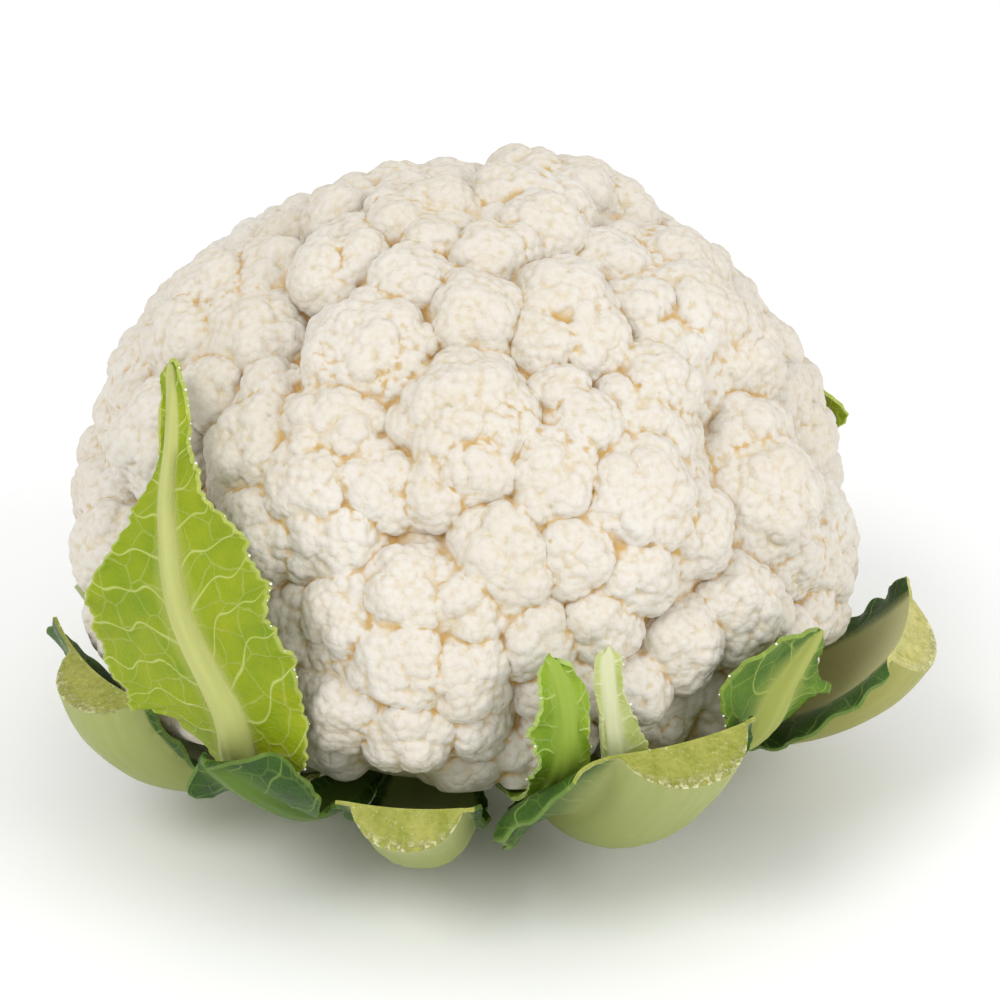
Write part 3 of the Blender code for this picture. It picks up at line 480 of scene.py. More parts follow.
def front_clusters():
    """The clusters of the front, each (dome, florets), and the tops and radii of the clusters."""
    clusters, tops = [], []
    for (across, up, radius), members in FRONT_CLUSTERS:
        start, way = facing_ray(across, up)
        top = first_hit(start, way, HEAD_CENTRE, HEAD_HALF_AXES)
        centre, dome_radius = cluster_dome(top, radius)
        florets = []
        for member_across, member_up, member_radius in members:
            start, way = facing_ray(member_across, member_up)
            place = first_hit(start, way, centre, np.full(3, dome_radius))
            florets.append(floret_ball(place, centre, member_radius))
        clusters.append(((centre, dome_radius), florets))
        tops.append((top, radius))
    return clusters, tops


def fill_clusters(tops, rng):
    """Clusters that cover the rest of the head, the largest that fit first, on a golden-angle spiral."""
    tops = list(tops)
    clusters = []
    for radius in FILL_RADII:
        for step in range(FILL_TRIES):
            height = 1.0 - (step + 0.5) / FILL_TRIES * (1.0 - math.sin(LOWEST_FLORET))
            turn = step * GOLDEN_ANGLE
            level = math.sqrt(1.0 - height * height)
            way = np.array([level * math.cos(turn), level * math.sin(turn), height])
            top = HEAD_CENTRE + way * HEAD_HALF_AXES
            if any(np.linalg.norm(top - other) < FILL_SPACING * (radius + size) for other, size in tops):
                continue
            tops.append((top, radius))
            sunk = HEAD_CENTRE + (top - HEAD_CENTRE) * rng.uniform(*FILL_SHRINK)
            clusters.append(fill_cluster(sunk, radius, rng))
    return clusters


def fill_cluster(top, radius, rng):
    """A cluster, as (dome, florets), with one floret in the middle and a ring of florets round it."""
    centre, dome_radius = cluster_dome(top, radius)
    normal = unit(top - centre)
    if radius < SMALL_CLUSTER:
        return (centre, dome_radius), [floret_ball(top, centre, radius)]
    florets = [floret_ball(top, centre, MIDDLE_SIZE * radius)]
    side = unit(np.cross(normal, [0.0, 0.0, 1.0]) + 1e-6)
    across = np.cross(normal, side)
    count = RING_COUNTS[radius >= RING_OF_SIX]
    start = rng.uniform(0.0, math.tau)
    for k in range(count):
        turn = start + math.tau * (k + rng.uniform(-RING_TURN_VARIES, RING_TURN_VARIES)) / count
        lean = math.asin(RING_REACH / CLUSTER_ROUNDNESS) * rng.uniform(*RING_LEAN_VARIES)
        way = normal * math.cos(lean) + (side * math.cos(turn) + across * math.sin(turn)) * math.sin(lean)
        size = radius * rng.uniform(*RING_SIZE)
        florets.append(floret_ball(centre + way * dome_radius, centre, size))
    return (centre, dome_radius), florets


def lobe_balls(centre, radius, out, rng):
    """(centre, radius) of each lobe on a floret, spread evenly round its way out."""
    cap = math.tau * radius**2 * (1.0 - math.cos(LOBE_SPREAD))
    count = max(3, round(cap / (LOBE_PACKING * LOBE_SPACING**2)))
    side = unit(np.cross(out, [0.3, 0.2, 1.0]))
    across = np.cross(out, side)
    start = rng.uniform(0.0, math.tau)
    lobes = []
    for k in range(count):
        rise = 1.0 - (k + 0.5) / count * (1.0 - math.cos(LOBE_SPREAD))
        turn = start + k * GOLDEN_ANGLE + rng.uniform(-0.2, 0.2)
        level = math.sqrt(1.0 - rise * rise)
        way = out * rise + (side * math.cos(turn) + across * math.sin(turn)) * level
        lobe_radius = min(LOBE_RADIUS, LOBE_SHARE * radius) * rng.uniform(*LOBE_VARIES)
        lobes.append((centre + way * (radius - (1.0 - LOBE_STANDS_OUT) * lobe_radius), lobe_radius))
    return lobes


def curd_balls():
    """The (centre, radius) of every dome and floret, of the florets alone, and of every lobe."""
    rng = np.random.default_rng(SEED)
    clusters, tops = front_clusters()
    clusters += fill_clusters(tops, rng)
    domes, florets, lobes = [], [], []
    for (dome_centre, dome_radius), members in clusters:
        if len(members) > 1:
            domes.append((dome_centre, dome_radius - DOME_INSET))
        for centre, radius, out in members:
            florets.append((centre, radius))
            lobes += lobe_balls(centre, radius, out, rng)
    return domes + florets, florets, lobes


def guard_reach(ways):
    """How far the body that holds the whole curd reaches from the head's middle along each way."""
    level = np.hypot(ways[:, 0], ways[:, 1])
    top = 1.0 / np.sqrt((level / GUARD_HALF_WIDTH) ** 2 + (ways[:, 2] / GUARD_RISE) ** 2)
    bottom = ((level / GUARD_HALF_WIDTH) ** 4 + (np.abs(ways[:, 2]) / GUARD_DROP) ** 4) ** -0.25
    return np.where(ways[:, 2] > 0.0, top, bottom)


def kept_inside(points):
    """Points outside the guard body brought back to it: lifted from below, drawn in from elsewhere."""
    level = np.hypot(points[:, 0], points[:, 1])
    part = np.minimum(level / GUARD_HALF_WIDTH, 1.0)
    floor = HEAD_CENTRE[2] - GUARD_DROP * (1.0 - part**4) ** 0.25
    lifted = points.copy()
    lifted[:, 2] = np.where(level < LIFT_WITHIN, np.maximum(points[:, 2], floor), points[:, 2])
    under = level < FLAT_UNDERSIDE
    lifted[under, 2] = np.maximum(lifted[under, 2], STEM_TOP + TOUCH_GAP)
    offsets = lifted - HEAD_CENTRE
    distance = np.linalg.norm(offsets, axis=1, keepdims=True)
    ways = offsets / np.maximum(distance, 1e-6)
    return HEAD_CENTRE + ways * np.minimum(distance, guard_reach(ways)[:, None])


def kept_outside(points, gap):
    """Points that lie nearer to the guard body than this gap, moved out from the middle to it."""
    offsets = points - HEAD_CENTRE
    distance = np.linalg.norm(offsets, axis=-1, keepdims=True)
    ways = offsets / np.maximum(distance, 1e-6)
    limit = guard_reach(ways.reshape(-1, 3)).reshape(distance.shape) + gap
    return HEAD_CENTRE + ways * np.maximum(distance, limit)


def tool_mesh(operator, **settings):
    """The corners and the triangles of one shape made by a mesh tool."""
    mesh = bmesh.new()
    operator(mesh, **settings)
    bmesh.ops.triangulate(mesh, faces=mesh.faces)
    mesh.verts.index_update()
    corners = np.array([vertex.co for vertex in mesh.verts])
    faces = np.array([[vertex.index for vertex in face.verts] for face in mesh.faces])
    mesh.free()
    return corners, faces


def balls_mesh(balls, subdivisions):
    """Corners and triangles of these balls, each (centre, radius)."""
    corners, faces = tool_mesh(bmesh.ops.create_icosphere, subdivisions=subdivisions, radius=1.0)
    centres = np.array([centre for centre, _ in balls])
    radii = np.array([radius for _, radius in balls])
    places = centres[:, None, :] + corners[None, :, :] * radii[:, None, None]
    numbers = faces[None, :, :] + np.arange(len(balls))[:, None, None] * len(corners)
    return places.reshape(-1, 3), numbers.reshape(-1, 3)


def branches_mesh(florets):
    """Corners and triangles of the tapered branches that carry the lowest florets."""
    shapes = []
    for centre, radius in florets:
        if centre[2] > BRANCHES_BELOW:
            continue
        root = np.array([0.0, 0.0, BRANCH_ROOT]) + unit(centre * [1, 1, 0]) * BRANCH_ROOT_REACH
        along = Vector(centre - root)
        turned = np.array(along.to_track_quat("Z", "Y").to_matrix())
        ends = {"radius1": BRANCH_RADIUS, "radius2": BRANCH_TOP_SHARE * radius, "depth": along.length}
        corners, faces = tool_mesh(bmesh.ops.create_cone, cap_ends=True, segments=BRANCH_SIDES, **ends)
        shapes.append((corners @ turned.T + 0.5 * (root + centre), faces))
    return shapes


def core_mesh():
    """Corners and triangles of the curd's core, which rises further than it drops."""
    corners, faces = tool_mesh(bmesh.ops.create_icosphere, subdivisions=5, radius=1.0)
    rise = np.where(corners[:, 2] > 0.0, CORE_RISE, CORE_DROP)
    scale = np.column_stack([np.full((len(corners), 2), CORE_HALF_WIDTH), rise])
    return HEAD_CENTRE + corners * scale, faces


def joined_mesh(name, shapes):
    """One mesh of several shapes, each (corners, triangles)."""
    starts = np.cumsum([0] + [len(corners) for corners, _ in shapes])
    faces = np.vstack([faces + start for (_, faces), start in zip(shapes, starts)])
    data = bpy.data.meshes.new(name)
    data.from_pydata(np.vstack([corners for corners, _ in shapes]) * MM, [], faces)
    return data


def largest_body(mesh):
    """Removes every body of the mesh but the one with the most corners."""
    mesh.verts.ensure_lookup_table()
    found = [-1] * len(mesh.verts)
    bodies = []
    for first in mesh.verts:
        if found[first.index] >= 0:
            continue
        body, waiting = [first], [first]
        found[first.index] = len(bodies)
        while waiting:
            for edge in waiting.pop().link_edges:
                for other in edge.verts:
                    if found[other.index] < 0:
                        found[other.index] = len(bodies)
                        body.append(other)
                        waiting.append(other)
        bodies.append(body)
    bodies.sort(key=len)
    bmesh.ops.delete(mesh, geom=[vertex for body in bodies[:-1] for vertex in body], context="VERTS")


def placed(name, data):
    """An object in the scene that shows this mesh, lamp or camera."""
    made = bpy.data.objects.new(name, data)
    bpy.context.scene.collection.objects.link(made)
    return made


def add_values(data, label, values):
    """A value at each corner of a mesh, or three where there is a row for each corner."""
    kind, field = ("FLOAT", "value") if values.ndim == 1 else ("FLOAT_VECTOR", "vector")
    data.attributes.new(label, kind, "POINT").data.foreach_set(field, values.ravel())


def remeshed(data):
    """A mesh of overlapping bodies, fused into one skin in small even steps."""
    body = placed(data.name, data)
    modifier = body.modifiers.new("remesh", "REMESH")
    modifier.mode = "VOXEL"
    modifier.voxel_size = GRAIN_STEP * MM
    depsgraph = bpy.context.evaluated_depsgraph_get()
    result = bpy.data.meshes.new_from_object(body.evaluated_get(depsgraph))
    bpy.data.objects.remove(body)
    return result


def smooth_values(values, along):
    """Values at even steps from 0 to 1, followed by a curve that passes through each of them."""
    values = np.asarray(values, float)
    values = values.reshape(len(values), -1)
    place = np.clip(np.asarray(along, float), 0.0, 1.0) * (len(values) - 1)
    first = np.minimum(place.astype(int), len(values) - 2)
    part = (place - first)[:, None]
    before = values[np.maximum(first - 1, 0)]
    start, end = values[first], values[first + 1]
    after = values[np.minimum(first + 2, len(values) - 1)]
    bend = (
        2.0 * start
        + (end - before) * part
        + (2.0 * before - 5.0 * start + 4.0 * end - after) * part**2
        + (3.0 * start - before - 3.0 * end + after) * part**3
    )
    return 0.5 * bend


def vertex_normals(points, triangles):
    """The area-weighted way out at each point."""
    corners = points[triangles]
    faces = np.cross(corners[:, 1] - corners[:, 0], corners[:, 2] - corners[:, 0])
    ends, count = triangles.ravel(), len(points)
    return unit(np.column_stack([np.bincount(ends, np.repeat(way, 3), minlength=count) for way in faces.T]))


def edges_of(triangles):
    """The three edges of each triangle, as pairs of ends."""
    return np.vstack([triangles[:, [0, 1]], triangles[:, [1, 2]], triangles[:, [2, 0]]])


def neighbour_pairs(triangles):
    """Every edge of the triangles, as two rows of ends, each edge both ways."""
    ends = np.unique(np.sort(edges_of(triangles), axis=1), axis=0)
    return np.vstack([ends, ends[:, ::-1]]).T


def averaged(values, pairs, rounds):
    """Values at points, averaged over their neighbours this many times."""
    values = values.reshape(len(values), -1).astype(float)
    ends, others = pairs
    least = len(values)
    count = np.bincount(ends, minlength=least)[:, None]
    for _ in range(rounds):
        total = np.column_stack([np.bincount(ends, part, minlength=least) for part in values[others].T])
        values = 0.5 * values + 0.5 * total / count
    return values


def spaced_points(points, least, rng):
    """Numbers of points, in a seeded random order, that keep at least this distance from one another."""
    cells = {}
    keys = np.floor(points / least).astype(int)
    steps = list(itertools.product((-1, 0, 1), repeat=3))
    limit = least * least
    chosen = []
    rows = points.tolist()
    key_rows = keys.tolist()
    for number in rng.permutation(len(points)).tolist():
        x, y, z = rows[number]
        a, b, c = key_rows[number]
        near = False
        for i, j, k in steps:
            for other in cells.get((a + i, b + j, c + k), ()):
                dx, dy, dz = other[0] - x, other[1] - y, other[2] - z
                if dx * dx + dy * dy + dz * dz < limit:
                    near = True
                    break
            if near:
                break
        if not near:
            cells.setdefault((a, b, c), []).append((x, y, z))
            chosen.append(number)
    return np.array(chosen)


def cap_heights(points, spacing, roundness, rng):
    """How far small round caps, packed over the points at about this spacing, stand out at each point."""
    seeds = points[spaced_points(points, spacing, rng)]
    sizes = spacing * roundness * rng.uniform(*CAP_VARIES, len(seeds))
    tree = KDTree(len(seeds))
    for number, seed in enumerate(seeds):
        tree.insert(seed, number)
    tree.balance()
    heights = np.zeros(len(points))
    for number, point in enumerate(points):
        best = 0.0
        for _, other, distance in tree.find_n(point, 3):
            inside = sizes[other] ** 2 - distance * distance
            if inside > best:
                best = inside
        heights[number] = best
    return np.sqrt(heights)


def sunk(points, normals, pairs, rounds):
    """How far each point lies below the average of its neighbours over this many rounds."""
    return ((averaged(points, pairs, rounds) - points) * normals).sum(1)


def fine_curd(florets, lobes, rng):
    """Points, triangles and normals of the head, and how deep its hollows, creases and grooves are."""
    shapes = [balls_mesh(florets, 4), balls_mesh(lobes, 3), core_mesh()] + branches_mesh(florets)
    fused = remeshed(joined_mesh("fused", shapes))
    mesh = bmesh.new()
    mesh.from_mesh(fused)
    largest_body(mesh)
    bmesh.ops.triangulate(mesh, faces=mesh.faces)
    mesh.to_mesh(fused)
    mesh.free()
    points = np.empty(len(fused.vertices) * 3)
    fused.vertices.foreach_get("co", points)
    triangles = np.empty(len(fused.polygons) * 3, dtype=np.int32)
    fused.polygons.foreach_get("vertices", triangles)
    points = kept_inside(points.reshape(-1, 3) / MM)
    triangles = triangles.reshape(-1, 3)
    pairs = neighbour_pairs(triangles)
    points = averaged(points, pairs, SOFTEN_ROUNDS)
    normals = vertex_normals(points, triangles)
    wide = sunk(points, normals, pairs, WIDE_ROUNDS)
    open_share = 1.0 - np.clip(averaged(wide, pairs, 2)[:, 0] / HOLLOW_DEPTH, 0.0, 1.0)
    under = np.clip((points[:, 2] - UNDERSIDE_HEIGHT) / UNDERSIDE_FADE, 0.0, 1.0)
    amount = (HOLLOW_RELIEF + (1.0 - HOLLOW_RELIEF) * open_share) * under
    for spacing, roundness, relief in (BUMPS, GRAINS):
        caps = cap_heights(points, spacing, roundness, rng)
        points = points + normals * (caps * relief * amount)[:, None]
        normals = vertex_normals(points, triangles)
    groove = sunk(points, normals, pairs, GROOVE_ROUNDS)
    crease = sunk(points, normals, pairs, CREASE_ROUNDS)
    return points, triangles, normals, wide, crease, groove


def border_gaps(points, balls):
    """How much further off the second nearest of these balls is than the nearest, at each point."""
    size = 2.0 * BORDER_REACH
    keys, place = np.unique(np.floor(points / size).astype(int), axis=0, return_inverse=True)
    place = place.ravel()
    groups = np.split(np.argsort(place, kind="stable"), np.cumsum(np.bincount(place))[:-1])
    rooms = {tuple(key): group for key, group in zip(keys.tolist(), groups)}
    nearest = np.full(len(points), BORDER_REACH)
    second = np.full(len(points), BORDER_REACH)
    for centre, radius in balls:
        low = np.floor((centre - radius - BORDER_REACH) / size).astype(int)
        high = np.floor((centre + radius + BORDER_REACH) / size).astype(int)
        steps = itertools.product(*(range(a, b + 1) for a, b in zip(low.tolist(), high.tolist())))
        near = [rooms[key] for key in steps if key in rooms]
        if not near:
            continue
        near = np.concatenate(near)
        distance = np.linalg.norm(points[near] - centre, axis=1) - radius
        before = nearest[near]
        second[near] = np.minimum(second[near], np.maximum(distance, before))
        nearest[near] = np.minimum(before, distance)
    return second - nearest


def split_head(points, triangles, count):
    """Which of this many equal wedges round the head each triangle belongs to."""
    middles = points[triangles].mean(1) - HEAD_CENTRE
    turns = np.arctan2(middles[:, 0], -middles[:, 1])
    order = np.argsort(turns, kind="stable")
    wedge = np.empty(len(triangles), dtype=int)
    wedge[order] = np.arange(len(triangles)) * count // len(triangles)
    return wedge


def wedge_object(name, points, triangles, normals, shades, finish):
    """One wedge of the head, closed by walls that run in to the head's middle."""
    used, numbers = np.unique(triangles, return_inverse=True)
    triangles = numbers.reshape(-1, 3)
    edges = edges_of(triangles)
    _, first, counts = np.unique(np.sort(edges, axis=1), axis=0, return_index=True, return_counts=True)
    border = edges[first[counts == 1]]
    middle = len(used)
    walls = np.column_stack([border[:, ::-1], np.full(len(border), middle)])
    places = np.vstack([points[used], HEAD_CENTRE])
    data = bpy.data.meshes.new(name)
    data.from_pydata(places * MM, [], np.vstack([triangles, walls]))
    for label, values in shades.items():
        add_values(data, label, np.append(values[used], 0.0))
    data.materials.append(finish)
    data.shade_smooth()
    data.normals_split_custom_set_from_vertices(np.vstack([normals[used], [0.0, 0.0, 1.0]]))
    return placed(name, data)


def summed_outwards(steps, middle):
    """Steps added up from the middle column out to both sides."""
    left = np.cumsum(steps[:, :middle][:, ::-1], axis=1)[:, ::-1]
    return np.hstack([left, np.zeros((len(steps), 1)), np.cumsum(steps[:, middle:], axis=1)])


def leaf_sheet(leaf):
    """The finely ruled surfaces of a leaf and where each point lies on it.

    Returns the inner and outer grids of points, the distance along the leaf and across it from the middle
    of the rib, and the share of the way from the rib to the edge, which is 0 on the rib.
    """
    rows, columns = leaf.fine
    along = np.linspace(0.0, 1.0, rows + 1)
    across = np.linspace(-1.0, 1.0, columns + 1)[None, :]
    fine = np.linspace(0.0, 1.0, PATH_STEPS)
    steps = np.array(leaf.steps, float)
    turned = [round_stem(*step[:3]) for step in steps]
    line = smooth_values(turned, fine)
    path = smooth_values(turned, along)
    tangent = unit(np.column_stack([np.interp(along, fine, np.gradient(line[:, k])) for k in range(3)]))
    travelled = np.append(0.0, np.cumsum(np.linalg.norm(np.diff(line, axis=0), axis=1)))
    distance = np.interp(along, fine, travelled)
    radial = unit(path * [1.0, 1.0, 0.0])
    outward = radial * tangent[:, 2:] - np.array([0.0, 0.0, 1.0]) * (tangent * radial).sum(1, keepdims=True)
    outward = unit(outward - tangent * (outward * tangent).sum(1, keepdims=True))
    sideways = np.cross(tangent, outward)
    rib, thick, left, right, curl_left, curl_right = smooth_values(steps[:, 3:], along).T[:, :, None]
    spread = np.abs(across)
    side = np.sign(across)
    on_rib = np.clip(spread / RIB_SHARE, 0.0, 1.0)
    on_wing = np.clip((spread - RIB_SHARE) / (1.0 - RIB_SHARE), 0.0, 1.0)
    wing = np.where(side < 0.0, left, right)
    wing = wing * (1.0 + on_wing * tooth_pattern(distance[:, None], side, leaf, wing))
    if leaf.kind != "base":
        short = 1.0 - np.clip((distance[-1] - distance) / TIP_ROUND, 0.0, 1.0)
        tip = np.maximum(np.sqrt(1.0 - short**2), TIP_LEAST)[:, None]
        wing, rib = wing * tip, rib * tip
    curl = np.radians(np.where(side < 0.0, curl_left, curl_right))
    run = on_rib * rib + on_wing * wing
    turn = -run / leaf.cup + curl * on_wing**2
    beat = math.tau * leaf.ripples * along[:, None] + leaf.phase + 1.7 * side
    ripple = leaf.ripple * on_wing**1.3 * np.sin(beat)
    frill_beat = math.tau * distance[:, None] / FRILL_LENGTH + leaf.phase * 2.0 + 1.1 * side
    frill = FRILL_HEIGHT * on_wing**2.5 * np.sin(frill_beat + 1.5 * np.sin(beat))
    frill = frill * np.minimum(wing / FRILLED_WIDTH, 1.0)
    step = np.diff(side * run, axis=1)
    mean_turn = 0.5 * (turn[:, 1:] + turn[:, :-1])
    side_run = side * summed_outwards(np.cos(mean_turn) * step, columns // 2)
    out_run = summed_outwards(np.sin(mean_turn) * np.abs(step), columns // 2)
    inner = path[:, None, :] + sideways[:, None, :] * side_run[:, :, None]
    inner = kept_outside(inner + outward[:, None, :] * (out_run + ripple + frill)[:, :, None], CLEARANCE)
    normal = unit(np.cross(np.gradient(inner, axis=1), np.gradient(inner, axis=0)))
    normal *= np.sign((normal * outward[:, None, :]).sum(-1).mean())
    depth = BLADE_THICKNESS + (thick - BLADE_THICKNESS) * (1.0 - on_rib**2.4) ** 0.8
    lateral = side * run
    share = np.broadcast_to(on_wing, run.shape)
    vein = vein_pattern(distance[:, None], run, side, share)
    swell = VEIN_RELIEF * vein * np.clip(share * 6.0, 0.0, 1.0) * (1.0 - share) ** 0.3
    strands = np.sin(lateral * STRAND_COUNT + 0.6 * np.sin(distance[:, None] * 0.11))
    strands = strands * STRAND_RELIEF * (1.0 - share * 4.0).clip(0.0)
    outer = inner + normal * (depth + swell + strands)[:, :, None]
    inner = inner + normal * (0.6 * swell)[:, :, None]
    return inner, outer, distance, lateral, share


def tooth_pattern(distance, side, leaf, wing):
    """How much wider a wing is, as a share of it, at each tooth and lobe of its margin."""
    beat = math.tau * distance / TOOTH_LENGTH[leaf.kind] + leaf.phase + 0.8 * side
    tooth = np.abs(np.sin(0.5 * beat + 0.5 * np.sin(0.31 * beat))) + 0.35 * np.sin(0.43 * beat + 1.0)
    lobe = LOBE_DEPTH * np.sin(math.tau * distance / LOBE_LENGTH + 2.0 * leaf.phase - side)
    return (TOOTH_DEPTH[leaf.kind] * tooth + lobe) / np.maximum(wing, TOOTHED_WIDTH)


def vein_pattern(distance, run, side, share):
    """1 on the middle of each side vein, which leaves the rib at a slant and bends, and 0 between."""
    bend = VEIN_BEND * np.sin(run * BEND_ACROSS + distance * BEND_ALONG)
    wave = VEIN_WAVE * np.sin(run * WAVE_ACROSS - distance * WAVE_ALONG + side)
    slant = distance - VEIN_SLANT * run + VEIN_CURVE * run**2 + VEIN_SHIFT * side + (bend + wave)
    beat = slant / VEIN_SPACING
    off = np.abs(beat - np.round(beat)) * VEIN_SPACING
    return np.exp(-((off / (VEIN_WIDTH * (1.0 - VEIN_THINS * share))) ** 2))


def dew_beads(inner, outer, distance, leaf, rng):
    """(centre, radius) of the beads on the teeth of a leaf's left and right edges."""
    beads = []
    least, most = DEW_RADIUS
    length = TOOTH_LENGTH[leaf.kind]
    count = int(distance[-1] / length)
    for column, within, share in zip((0, -1), (3, -4), DEW_SHARE[leaf.kind]):
        for k in range(count // 3, count):
            place = (k + rng.uniform(-0.35, 0.35)) * length
            radius = least + (most - least) * rng.uniform() ** 2
            row = min(int(np.searchsorted(distance, place)), len(outer) - 2)
            edge = 0.5 * (inner[row, column] + outer[row, column])
            if rng.uniform() < share:
                beads.append((edge + unit(edge - outer[row, within]) * DEW_STANDS_OUT, radius))
    return beads


def ruled_faces(numbers):
    """The four-cornered faces between the neighbouring rows of a grid of corner numbers."""
    corners = [numbers[:-1, :-1], numbers[:-1, 1:], numbers[1:, 1:], numbers[1:, :-1]]
    return np.stack(corners, axis=-1).reshape(-1, 4)


def end_layers(inner, outer, lateral, parts):
    """Layers of points across a leaf's end, which swells a little and is ragged along its outer edge."""
    part = parts[:, None]
    gap = outer[-1] - inner[-1]
    across = lateral[-1]
    grain = np.sin(across * 1.9 + part * 9.0) * np.sin(across * 0.7 - part * 5.0)
    rag = np.abs(np.sin(across * 2.9 + 4.0 * part) * np.sin(across * 1.3 + 1.0))
    rise = CUT_RELIEF * np.sin(math.pi * part) ** 0.5 * (grain - 0.4)
    rise = rise + CUT_RAG * rag * np.clip(part * 4.0 - 3.0, 0.0, 1.0)
    rise = rise * np.clip(np.linalg.norm(gap, axis=1) / CUT_FULL_DEPTH, 0.0, 1.0)
    tangent = unit(outer[-1] + inner[-1] - outer[-2] - inner[-2])
    return inner[-1] + gap * part[:, :, None] + tangent * rise[:, :, None]


def leaf_object(name, leaf, finishes, rng):
    """A leaf as one closed mesh: its two faces, its edges and its end, and the beads of sap on its teeth."""
    inner, outer, distance, lateral, share = leaf_sheet(leaf)
    count, width = share.size, share.shape[1]
    number = np.arange(count).reshape(share.shape)
    faces = ruled_faces(number)[:, ::-1].tolist() + ruled_faces(number + count).tolist()
    for edge in (number[:-1, 0], number[-2::-1, -1], number[0, ::-1]):
        faces += ruled_faces(np.stack([edge, edge + count])).tolist()
    parts = np.linspace(0.0, 1.0, CUT_STEPS + 1)[1:-1]
    layers = end_layers(inner, outer, lateral, parts)
    layer_numbers = 2 * count + np.arange(len(parts) * width).reshape(-1, width)
    cut = np.vstack([number[-1], layer_numbers, number[-1] + count])
    cut_faces = ruled_faces(cut).tolist()
    skins = [0] * len(faces) + [CUT_SKIN if leaf.kind == "base" else 0] * len(cut_faces) + [0, 0]
    faces += cut_faces
    faces.append([number[-2, 0]] + cut[:, 0].tolist() + [number[-2, 0] + count])
    faces.append(([number[-2, -1]] + cut[:, -1].tolist() + [number[-2, -1] + count])[::-1])
    places = np.vstack([inner.reshape(-1, 3), outer.reshape(-1, 3), layers.reshape(-1, 3)])
    laid = np.column_stack([np.repeat(distance, width), lateral.ravel(), share.ravel()])
    laid = np.vstack([laid, laid, np.tile(laid[-width:], (len(parts), 1))])
    torn = np.append(np.zeros(2 * count), np.repeat(np.clip(parts * 3.2 - 2.2, 0.0, 1.0), width))
    torn[2 * count - width : 2 * count] = 1.0
    beads = dew_beads(inner, outer, distance, leaf, rng)
    if beads:
        corners, triangles = balls_mesh(beads, 2)
        faces += (triangles + len(places)).tolist()
        skins += [DEW_SKIN] * len(triangles)
        places = np.vstack([places, corners])
        laid = np.vstack([laid, np.zeros_like(corners)])
        torn = np.append(torn, np.zeros(len(corners)))
    data = bpy.data.meshes.new(name)
    data.from_pydata((places * MM).tolist(), [], faces)
    for finish in finishes:
        data.materials.append(finish)
    data.polygons.foreach_set("material_index", skins)
    add_values(data, "laid", laid)
    add_values(data, "inside", (np.arange(len(places)) < count).astype(float))
    add_values(data, "rim", torn)
    data.shade_smooth()
    mesh = bmesh.new()
    mesh.from_mesh(data)
    bmesh.ops.recalc_face_normals(mesh, faces=mesh.faces)
    if mesh.calc_volume(signed=True) < 0.0:
        bmesh.ops.reverse_faces(mesh, faces=mesh.faces)
    mesh.to_mesh(data)
    mesh.free()
    data.set_sharp_from_angle(angle=LEAF_SHARP)
    return placed(name, data)


def stem_object(name, finishes):
    """The stalk: a finely turned profile with soft ridges down its side and a fibrous cut foot."""
    mesh = bmesh.new()
    profile = smooth_values(np.array(STEM_PROFILE[1:-1]), np.linspace(0.0, 1.0, 40))
    foot = [(radius, 0.0) for radius in np.linspace(0.0, profile[0, 0], 16)[:-1]]
    top = [(radius, STEM_TOP) for radius in np.linspace(profile[-1, 0], 0.0, 4)[1:]]
    corners = [mesh.verts.new((radius, 0.0, height)) for radius, height in foot + profile.tolist() + top]
    edges = [mesh.edges.new(pair) for pair in zip(corners, corners[1:])]
    bmesh.ops.spin(
        mesh, geom=corners + edges, axis=(0, 0, 1), cent=(0, 0, 0), angle=math.tau, steps=108, use_merge=True
    )
    bmesh.ops.remove_doubles(mesh, verts=mesh.verts, dist=0.0001)
    bmesh.ops.recalc_face_normals(mesh, faces=mesh.faces)
    for vertex in mesh.verts:
        x, y, z = vertex.co
        radius = math.hypot(x, y)
        if radius < 1.0 or z > STEM_TOP - 1.0:
            continue
        turn = math.atan2(y, x)
        ridge = sum(height * math.sin(count * turn + lean * z) for height, count, lean in STEM_RIDGES)
        scale = 1.0 + (ridge - 0.5) * min(1.0, z / STEM_RIDGES_START) / radius
        fibres = STEM_DENT * (1.0 + math.sin(0.9 * x) * math.sin(1.1 * y + 0.7))
        dent = fibres if z < 0.01 and radius < STEM_DENT_REACH else 0.0
        vertex.co = (x * scale, y * scale, z + dent)
    for face in mesh.faces:
        face.material_index = CUT_SKIN if face.calc_center_median().z < 0.6 else 0
    for vertex in mesh.verts:
        vertex.co *= MM
    data = bpy.data.meshes.new(name)
    mesh.to_mesh(data)
    mesh.free()
    for finish in finishes:
        data.materials.append(finish)
    data.shade_smooth()
    data.set_sharp_from_angle(angle=STEM_SHARP)
    return placed(name, data)


